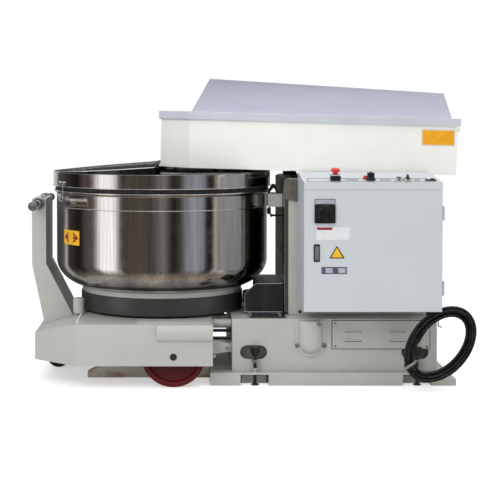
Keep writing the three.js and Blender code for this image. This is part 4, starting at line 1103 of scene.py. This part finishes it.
def make_docking_trim():
    """The near docking tube's end and the two dark guide pins in the gap between the trolley and the base."""
    tube_end = turned_bar(X, (0, DOCK_Y, 0.254), 0.019, DOCK_GAP, 0.003, 48)
    trim("docking_tube_end", tube_end, CREAM)
    pins = [turned_bar(X, (0, DOCK_Y, z), 0.0075, DOCK_GAP, 0.001, 24) for z in (0.221, 0.186)]
    trim("docking_pins", merged(*pins), ENAMEL)


make_docking_trim()
make_road_wheels()
make_caster()
make_push_bar()
make_post_foot()
make_hook_trim()
make_levelling_bolts()


# ---------------------------------------------------------------- base, guard and bracket trim
def make_bell_cover():
    """A round-bottomed cover that swells out of a flat flange."""
    low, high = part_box("bell_cover")
    x, z, reach = 0.064, 0.190, 0.052
    wall = base_low.y - 0.0004
    depth = wall - low.y - 0.0005
    flange = [(x + 0.070 * math.cos(a), z + 0.070 * math.sin(a))
              for a in (math.pi + math.pi * k / 36 for k in range(37))]
    flange += [(x + 0.070, high.z), (x - 0.070, high.z)]
    plate = slab(flange, wall - 0.0056, wall, "Y", 0.0015, 2)
    form = bmesh.new()
    rows = []
    drops = [(high.z - k * (high.z - z) / 8, 1.0) for k in range(8)]
    drops += [(z - reach * math.sin(a), math.cos(a)) for a in (math.pi / 2 * k / 12 for k in range(13))]
    for height, share in drops:
        share = max(share, 0.02)
        rows.append([form.verts.new((x - reach * share * math.cos(a),
                                     wall - 0.004 - (depth - 0.004) * share * math.sin(a), height))
                     for a in (math.pi * k / 24 for k in range(25))])
    for upper, lower in zip(rows, rows[1:]):
        for k in range(24):
            form.faces.new([upper[k], upper[k + 1], lower[k + 1], lower[k]])
    form.faces.new(rows[0])
    form.faces.new(rows[-1])
    fillet = tube([(x + (reach + 0.001) * math.cos(a), wall - 0.0065, z + (reach + 0.001) * math.sin(a))
                   for a in (math.pi + math.pi * k / 30 for k in range(31))], 0.0022, 8)
    instead_of("bell_cover", merged(plate, form, fillet), smooth=60)


def make_base_trim():
    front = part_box("bell_cover")[0].y
    flange = base_low.y - 0.0062
    bolts = [hex_bolt((x, flange, z), -Y, 0.008, 0.0055) for x, z in ((0.0045, 0.172), (0.1235, 0.172))]
    bolts.append(hex_bolt((0.098, front - 0.0003, 0.272), -Y, 0.0075, 0.005))
    trim("bell_cover_bolts", merged(*bolts), SATIN)

    low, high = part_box("louvre_panel")
    seam = slab(rectangle((low.x - 0.003, high.x + 0.003), (low.z - 0.003, high.z + 0.003), 0.004),
                base_low.y - 0.0011, base_low.y - 0.0003, "Y")
    trim("panel_gasket", seam, RUBBER)
    lips, gap_shades = [], []
    for left in (0.213, 0.408):
        for z in (0.233, 0.191):
            lips.append(louvre_lip(left, left + 0.080, z, low.y))
            # Painted shade: a black strip under each louvre lip, where its opening is in shade.
            gap_shade = rectangle((left + 0.003, left + 0.077), (z - 0.0030, z - 0.0004))
            gap_shades.append(slab(gap_shade, low.y - 0.0004, low.y + 0.0002, "Y"))
        boss = rounded([(0, 0, 0), (0.007, 0), (0.005, 0.002), (0, 0.0024, 0)], 0.001, 2)
        place = facing(-Y, (left + 0.022, low.y, 0.262)) @ Matrix.Diagonal((1.5, 0.7, 1, 1))
        lips.append(placed(lathe(boss, 24), place))
    trim("louvre_lips", merged(*lips), CREAM)
    trim("louvre_gap_shade", merged(*gap_shades), RUBBER)
    corners = [(x, z) for x in (low.x + 0.012, high.x - 0.012) for z in (low.z + 0.011, high.z - 0.011)]
    trim("panel_screws", merged(*[cap_screw((x, low.y, z), -Y, 0.0055, 0.003) for x, z in corners]), SATIN)
    grommet = rounded([(0.002, 0), (0.0075, 0), (0.0065, 0.004), (0.003, 0.005)], 0.0008, 2)
    ring = placed(lathe(grommet, 32), facing(-Y, (0.027, column_low.y - 0.0002, 0.304)))
    trim("column_grommet", ring, RUBBER)


def louvre_lip(first, last, z, wall):
    """A pressed louvre: a half dome that opens downwards."""
    form = bmesh.new()
    rows = []
    steps, height, out = 24, 0.0085, 0.0036
    for k in range(steps + 1):
        t = k / steps
        swell = math.sin(math.pi * t) ** 0.35
        x = first + (last - first) * t
        rows.append([form.verts.new((x, wall - out * swell * math.cos(a), z + height * swell * math.sin(a)))
                     for a in (math.radians(d) for d in range(0, 91, 15))])
    for a, b in zip(rows, rows[1:]):
        for k in range(len(a) - 1):
            form.faces.new([a[k], a[k + 1], b[k + 1], b[k]])
    base = [form.verts.new((row[0].co.x, wall + 0.0004, z)) for row in rows]
    for k in range(steps):
        form.faces.new([rows[k][0], rows[k + 1][0], base[k + 1], base[k]])
    bmesh.ops.remove_doubles(form, verts=form.verts, dist=1e-5)
    return form


def make_notch_and_window_shades():
    for node in LEVELLING_BOLTS:
        at = middle_of(node)
        sign = math.copysign(1, at.y)
        wall = sorted((sign * 0.3856, sign * 0.3880))
        # Painted shade: black strips on the top and sides of each plinth notch, where the notch is in shade.
        lintel = bar((at.x - 0.0625, at.x + 0.0585), wall, (0.0345, 0.0465), 0.0008)
        jambs = [bar((x, x + 0.005), wall, (0.003, 0.034), 0.0008) for x in (at.x - 0.0625, at.x + 0.0535)]
        trim(node.replace("levelling_bolt", "notch_shade"), merged(lintel, *jambs), RUBBER)
        # Painted shade: a dull grey sheet behind each base window, standing for the shaded inside of the
        # base.
        wall = sorted((sign * 0.372, sign * 0.374))
        back = slab(rectangle((at.x - 0.071, at.x + 0.061), (0.104, 0.178), 0.02), *wall, "Y", 0.0004)
        piece(node.replace("levelling_bolt", "window_shade"), back, INTERIOR_SHADE, "root")


def make_guard_trim():
    face = -0.2515
    # Painted highlight: thin satin rods trace the guard's near outline where its edges catch the light.
    outline = [(-0.050, 0.2975), (-0.2205, 0.2975), (-0.2205, 0.3792), (-0.1695, 0.4258), (-0.050, 0.4258)]
    for k, (a, b) in enumerate(zip(outline, outline[1:])):
        line = tube([(a[0], face, a[1]), (b[0], face, b[1])], 0.0016, 8)
        piece(f"guard_edge_highlight_{k}", line, SATIN, "root")
    top = base_high.z + 0.0035
    bolts = [hex_bolt((x, y, top), Z, 0.008, 0.006) for x in (-0.200, -0.068)
             for y in (-0.350, -0.290, 0.115)]
    trim("guard_bolts", merged(*bolts), SATIN)


def make_bracket_trim():
    low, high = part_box("bowl_guide_bracket")
    for side, y in (("near", -0.172), ("far", -0.128)):
        blade = slab([(-0.112, 0.8335), (-0.104, 0.8335), (-0.084, 0.858), (-0.064, 0.8335), (-0.058, 0.8335),
                      (-0.078, 0.874), (-0.090, 0.874)], y - 0.0015, y + 0.0015, "Y", 0.0006)
        trim(f"sensor_lever_{side}", blade, ENAMEL)
    foot = bar((-0.100, -0.070), (-0.180, -0.120), (high.z + 0.0004, high.z + 0.0035), 0.001)
    trim("sensor_plate", foot, SATIN)
    buffer = rounded([(0, 0, 0), (0.016, 0), (0.018, 0.006), (0.014, 0.016), (0, 0.018, 0)], 0.003, 3)
    trim("bowl_buffer", placed(lathe(buffer, 40), facing(-X, (low.x + 0.0165, -0.150, low.z - 0.0205))),
         RUBBER)
    arm = turned_bar(X, (0, -0.080, 0.724), 0.005, (-0.086, -0.0436), 0.001, 20)
    tip = placed(spun(disc_section(0.0075, 0, 0.010), 0.003, 3, 24), facing(-X, (-0.084, -0.080, 0.724)))
    trim("bowl_feeler", merged(arm, tip), ENAMEL)


make_bell_cover()
make_base_trim()
make_notch_and_window_shades()
make_guard_trim()
make_bracket_trim()


# ---------------------------------------------------------------- head trim
HEAD_NOSE_X = -0.607             # the head's front end
NOSE_BEVEL = 0.129


def make_head_rests():
    """The pads the head rests on, and the cheeks bolted to the column's front corners, painted in the dark
    tone of the shade on them.
    """
    for side, sign in SIDES:
        pad = bar((-0.012, 0.052), (sign * 0.200 - 0.030, sign * 0.200 + 0.030),
                  (column_high.z + 0.0005, 0.9205), 0.004)
        trim(f"rest_pad_{side}", pad, RUBBER)
        front = -0.052 if side == "near" else -0.037
        cheek = slab([(front, 0.822), (front + 0.012, 0.812), (0.013, 0.803), (0.013, 0.903),
                      (front + 0.006, 0.903)], sign * 0.2950, sign * 0.2985, "Y", 0.001)
        bolts = [hex_bolt((-0.012, sign * 0.2985, z), Y * sign, 0.007, 0.005) for z in (0.840, 0.885)]
        piece(f"column_cheek_{side}", merged(cheek, *bolts), SHADED_CHEEK, "root")


def make_head_seam():
    """A welded seam at the corner where the nose's bevel begins."""
    ends = [HEAD_FRAME @ Vector((HEAD_NOSE_X - PIVOT.x + NOSE_BEVEL, -HEAD_HALF - 0.0004, height))
            for height in (HEAD_BASE + 0.004, LIP_Z - 0.004)]
    piece("head_seam", tube(ends, 0.0022, 8), LIT_CREAM, "head")


def make_head_plates():
    low_z = HEAD_BASE + 0.128
    make_plate("head_plate", (0.563, 0.716), (low_z, low_z + 0.078), -HEAD_HALF, WHITE_LABEL)
    make_plate("head_plate_face", (0.568, 0.711), (low_z + 0.006, low_z + 0.072), -HEAD_HALF - 0.0008,
               ORANGE_LABEL)


def make_plate(name, x, height, y, material, thickness=0.0008):
    """A thin blank plate on the head's near side, given along the head's own base line."""
    form = slab(rectangle((x[0] - PIVOT.x, x[1] - PIVOT.x), height, 0.002, 3), y - thickness, y - 0.0001, "Y",
                0.0002, 1)
    piece(name, placed(form, HEAD_FRAME), material, "head")


make_head_rests()
make_head_seam()
make_head_plates()


# ---------------------------------------------------------------- cabinet, switches and plates
def on_door(name, outline, material, lift=0.0, thickness=0.0008):
    face = door_low.y - lift
    form = slab(outline, face - thickness, face - 0.0001, "Y", min(0.0003, thickness * 0.3), 1)
    return piece(name, form, material, "door")


def make_main_switch():
    on_door("switch_header_edge", rectangle((0.0580, 0.1460), (0.8080, 0.8315), 0.002), BLACK,
            thickness=0.003)
    on_door("switch_header", rectangle((0.0600, 0.1440), (0.8105, 0.8295), 0.001), GREY_LABEL, 0.003, 0.0006)
    on_door("switch_plate", rectangle((0.058, 0.146), (0.729, 0.8075), 0.004), BLACK, thickness=0.0098)
    low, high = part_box("main_switch_knob")
    x, z = (low.x + high.x) / 2, (low.z + high.z) / 2
    face = door_low.y
    dial = spun([(0, 0.0103, 0), (0.036, 0.0103), (0.034, 0.0135), (0.027, 0.0145), (0.024, 0.020),
                 (0, 0.020, 0)], 0.0015, 3, 64)
    placed(dial, facing(-Y, (x, face, z)))
    grip = slab(oblong(0.0085, 0.033, 0.005, 4), 0.018, 0.038, "Z", 0.003, 3)
    placed(grip, Matrix.Translation((x, face, z)) @ Matrix.Rotation(math.radians(90), 4, "X"))
    instead_of("main_switch_knob", merged(dial, grip), BLACK)


def make_door_latch():
    low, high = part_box("door_latch_lever")
    on_door("latch_plate", rectangle((low.x - 0.005, high.x + 0.005), (low.z - 0.008, high.z + 0.008), 0.006),
            BLACK, thickness=0.0004)
    lever = slab(rectangle((low.x, high.x), (low.z, high.z), 0.003, 3), low.y, high.y, "Y", 0.0012, 2)
    ribs = [slab(rectangle((low.x + 0.003, high.x - 0.003), (z0, z0 + 0.0018)), low.y - 0.0009,
                 low.y + 0.0003, "Y") for z0 in (low.z + 0.006 + k * 0.0042 for k in range(8))]
    instead_of("door_latch_lever", merged(lever, *ribs), GREY)


def make_door_plates():
    """Blank plates and a plain triangle where the door carries its labels."""
    on_door("blank_plate", rectangle((0.066, 0.208), (0.658, 0.712), 0.002), WHITE_LABEL)
    on_door("blank_plate_header", rectangle((0.068, 0.134), (0.7005, 0.7110), 0.0005), RED_LABEL, 0.0008,
            0.0004)
    tri = [(0.121, 0.579), (0.187, 0.579), (0.154, 0.634)]
    on_door("triangle_border", rounded(tri, 0.004, 4), BLACK)
    inner = [(0.1285, 0.5833), (0.1795, 0.5833), (0.154, 0.6255)]
    on_door("triangle_face", rounded(inner, 0.003, 4), YELLOW_LABEL, 0.0008, 0.0004)
    on_door("rating_plate", rectangle((0.088, 0.196), (0.513, 0.543), 0.001), DARK_LABEL)
    for k, x0 in enumerate((0.106, 0.160)):
        on_door(f"rating_field_{k}", rectangle((x0, x0 + 0.030), (0.518, 0.538), 0.001), FIELD_LABEL, 0.0008,
                0.0004)


CONSOLE_FRONT_Z, CONSOLE_BACK_Z = 0.902, 0.937
CONSOLE_SLOPE = math.atan2(CONSOLE_BACK_Z - CONSOLE_FRONT_Z, console_high.y - console_low.y)
CONTROLS_Y = -0.560
ROCKER_X = 0.560


def on_console(form, x, y=CONTROLS_Y):
    height = CONSOLE_FRONT_Z + (y - console_low.y) * math.tan(CONSOLE_SLOPE)
    return placed(form, Matrix.Translation((x, y, height)) @ Matrix.Rotation(CONSOLE_SLOPE, 4, "X"))


def make_emergency_stop():
    x = middle_of("emergency_stop").x
    cap = spun([(0, 0.034, 0), (0.013, 0.034), (0.020, 0.040), (0.020, 0.047), (0.015, 0.053), (0, 0.055, 0)],
               0.002, 3, 48)
    stem = spun(disc_section(0.0098, 0.008, 0.036), 0.0005, 1, 32)
    instead_of("emergency_stop", on_console(merged(cap, stem), x), RED)
    block = slab(oblong(0.0215, 0.0215, 0.005, 4), 0.0003, 0.0225, "Z", 0.002, 2)
    hollow = spun([(0.0106, 0.0225), (0.019, 0.0225), (0.017, 0.0265), (0.0106, 0.0265)], 0.001, 2, 40)
    trim("stop_block", on_console(merged(block, hollow), x), BLACK)


def make_timer():
    x = middle_of("timer_knob").x
    skirt = spun([(0, 0.0006, 0), (0.021, 0.0006), (0.020, 0.010), (0.0155, 0.013), (0.0145, 0.033),
                  (0, 0.034, 0)], 0.0015, 3, 48)
    flutes = [slab(rectangle((-0.0016, 0.0016), (0.0142, 0.0158)), 0.014, 0.0325, "Z") for _ in range(18)]
    for k, flute in enumerate(flutes):
        placed(flute, Matrix.Rotation(2 * math.pi * k / 18, 4, "Z"))
    wing = slab(oblong(0.0045, 0.018, 0.003, 3), 0.020, 0.0365, "Z", 0.0015, 2)
    instead_of("timer_knob", on_console(merged(skirt, wing, *flutes), x), BLACK)
    lens = spun([(0, 0.0003, 0), (0.010, 0.0003), (0.010, 0.008), (0.008, 0.016), (0, 0.018, 0)], 0.002, 3,
                32)
    trim("timer_lamp", on_console(lens, x - 0.020, -0.533), RED)


def make_start_and_mode():
    x = middle_of("start_button").x
    cap = spun([(0, 0.005, 0), (0.0109, 0.005), (0.0109, 0.014), (0.009, 0.0162), (0, 0.0162, 0)], 0.0008, 2,
               40)
    instead_of("start_button", on_console(cap, x), GREY)
    x = middle_of("mode_selector").x
    body = spun([(0, 0.0009, 0), (0.0109, 0.0009), (0.0109, 0.0138), (0, 0.0142, 0)], 0.0008, 2, 40)
    lever = slab(oblong(0.004, 0.012, 0.0025, 3), 0.0125, 0.0245, "Z", 0.001, 2)
    instead_of("mode_selector", on_console(merged(body, lever), x), BLACK)
    for name, at in (("start", middle_of("start_button").x), ("mode", middle_of("mode_selector").x)):
        ring = spun([(0.0116, 0.0003), (0.0178, 0.0003), (0.0172, 0.0096), (0.0116, 0.0100)], 0.001, 2, 48)
        trim(f"{name}_bezel", on_console(ring, at), CHROME)


def make_rocker():
    """A two-part key in a frame: its pale half stands up, its dark half is pressed down."""
    rocker = slab(oblong(0.021, 0.015, 0.003, 3), 0.0003, 0.006, "Z", 0.0015, 2)
    trim("rocker_frame", on_console(rocker, ROCKER_X), BLACK)
    for name, span, top, finish, slot in (
            ("rocker_key", (-0.017, -0.001), 0.0105, WHITE_LABEL, "cabinet_paint"),
            ("rocker_key_dark", (0.001, 0.017), 0.0082, BLACK, "black_plastic")):
        key = slab(rectangle(span, (-0.011, 0.011), 0.001, 2), 0.0055, top, "Z", 0.001, 2)
        piece(name, on_console(merged(key), ROCKER_X), finish, "root")


def make_console_marks():
    """An engraved outline round the controls, plain oval fields between them, and the cover's screws."""
    def ring(cx, cy, half_x, half_y, corner, wide=0.0032, deep=0.0085):
        outer = rounded(oblong(half_x, half_y), corner, 5)
        inner = [(u * (1 - wide / half_x), v * (1 - deep / half_y)) for u, v in outer]
        return on_console(band_between(outer, inner, 0.0002, 0.0005), cx, cy)

    rings = [ring(0.310, -0.552, 0.278, 0.048, 0.030)]
    rings += [ring(x, -0.552, half, 0.012, 0.0115)
              for x, half in ((0.225, 0.030), (0.370, 0.026), (0.505, 0.014))]
    piece("console_outline", merged(*rings), BLACK, "root")
    screws = [on_console(cap_screw((0, 0, 0.0002), Z, 0.0036, 0.002), x, -0.6135)
              for x in (0.030, 0.170, 0.310, 0.450, 0.590)]
    trim("console_screws", merged(*screws), SATIN)


make_main_switch()
make_door_latch()
make_door_plates()
make_emergency_stop()
make_timer()
make_start_and_mode()
make_rocker()
make_console_marks()


# ---------------------------------------------------------------- light, floor and hand-over
def make_world():
    world = bpy.data.worlds.new("studio")
    bpy.context.scene.world = world
    world.use_nodes = True
    nodes = Nodes(world.node_tree)
    background = world.node_tree.nodes["Background"]
    where = nodes.add("TexCoord")
    split = nodes.add("SeparateXYZ")
    nodes.link(where.outputs["Generated"], split.inputs[0])
    back = nodes.add("Math", operation="MULTIPLY")
    back.inputs[1].default_value = -1
    nodes.link(split.outputs["Y"], back.inputs[0])
    turn = nodes.add("Math", operation="ARCTAN2")
    nodes.link(split.outputs["X"], turn.inputs[0])
    nodes.link(back.outputs[0], turn.inputs[1])
    share = nodes.add("MapRange")
    share.inputs["From Min"].default_value = -math.pi
    share.inputs["From Max"].default_value = math.pi
    nodes.link(turn.outputs[0], share.inputs["Value"])

    def at(degrees):
        return (degrees + 180) / 360

    dark, dim, white = (0.02, 0.018, 0.015), (0.10, 0.095, 0.085), (1.5, 1.5, 1.5)
    blue, beige = (0.42, 0.46, 0.52), (1.0, 0.93, 0.8)
    stops = [(-180, dark), (-170, dark), (-164, (0.8, 0.8, 0.8)), (-146, (0.6, 0.6, 0.6)), (-140, dim),
             (-97, dark), (-90, (0.16, 0.13, 0.11)), (-82, (0.12, 0.10, 0.09)), (-76, (0.26, 0.23, 0.22)),
             (-69, white), (-50, white), (-43, dim), (-28, (0.19, 0.16, 0.13)), (-10, dim),
             (4, (0.26, 0.25, 0.24)), (12, dark), (20, dim), (27, blue), (44, blue), (50, dark), (56, dark),
             (61, beige), (80, beige), (85, dark), (95, dark), (99, dim), (112, (0.4, 0.37, 0.32)),
             (118, dark), (150, dim), (162, (0.7, 0.7, 0.7)), (170, dark)]
    bands = nodes.ramp(share.outputs[0], [(at(degrees), color) for degrees, color in stops])
    rise = nodes.ramp(split.outputs["Z"], [(0.0, (0, 0, 0)), (0.22, (0.1,) * 3), (0.45, (1, 1, 1))])
    sky = nodes.ramp(split.outputs["Z"], [(0.4, (0.80, 0.83, 0.90)), (0.9, (1.35, 1.35, 1.42))])
    room = nodes.mix(rise, bands, sky)
    down = nodes.add("Math", operation="MULTIPLY")
    down.inputs[1].default_value = -1
    nodes.link(split.outputs["Z"], down.inputs[0])
    fall = nodes.ramp(down.outputs[0], [(0.3, (0, 0, 0)), (0.7, (1, 1, 1))])
    ground = nodes.ramp(down.outputs[0], [(0.4, (0.13, 0.12, 0.11)), (0.95, (0.52, 0.44, 0.34))])
    room = nodes.mix(fall, room, ground)
    path = nodes.add("LightPath")
    seen = nodes.mix(path.outputs["Is Camera Ray"], (0.56, 0.56, 0.56), (1.0, 1.0, 1.0))
    color = nodes.mix(path.outputs["Is Glossy Ray"], seen, room)
    nodes.link(color, background.inputs["Color"])
    background.inputs["Strength"].default_value = 1.0


def add_light(name, at, towards, size, power, color=(1, 1, 1)):
    lamp = bpy.data.lights.new(name, "AREA")
    lamp.shape = "RECTANGLE"
    lamp.size, lamp.size_y = size
    lamp.energy = power
    lamp.color = color
    made = bpy.data.objects.new(name, lamp)
    made.location = at
    made.rotation_euler = (Vector(towards) - Vector(at)).to_track_quat("-Z", "Y").to_euler()
    made.visible_glossy = False
    bpy.context.collection.objects.link(made)


FLOOR_GLOW = 0.47                # what the floor adds for the camera only, so it meets the white ground


def make_floor():
    form = bmesh.new()
    bmesh.ops.create_grid(form, x_segments=8, y_segments=8, size=30)
    mesh = bpy.data.meshes.new("floor")
    form.to_mesh(mesh)
    form.free()
    floor = bpy.data.objects.new("floor", mesh)
    bpy.context.collection.objects.link(floor)
    material, nodes, shader = new_material("floor")
    pale = nodes.ramp(nodes.noise(0.4), [(0.3, srgb(250, 250, 250)), (0.7, srgb(253, 253, 253))])
    nodes.link(pale, shader.inputs["Base Color"])
    shader.inputs["Roughness"].default_value = 0.9
    path = nodes.add("LightPath")
    glow = nodes.add("Math", operation="MULTIPLY")
    glow.inputs[1].default_value = FLOOR_GLOW
    nodes.link(path.outputs["Is Camera Ray"], glow.inputs[0])
    shader.inputs["Emission Color"].default_value = (1, 1, 1, 1)
    nodes.link(glow.outputs[0], shader.inputs["Emission Strength"])
    mesh.materials.append(material)
    floor.visible_glossy = False


make_world()
add_light("key", (-2.6, -4.2, 3.6), (-0.2, 0, 0.6), (2.4, 2.4), 92)
add_light("fill", (3.2, -4.5, 2.2), (0.2, 0, 0.6), (2.6, 2.6), 14)
add_light("top", (0, -0.6, 4.2), (0, 0, 0.8), (3.0, 3.0), 48)
make_floor()
bpy.context.scene.view_settings.view_transform = "Standard"
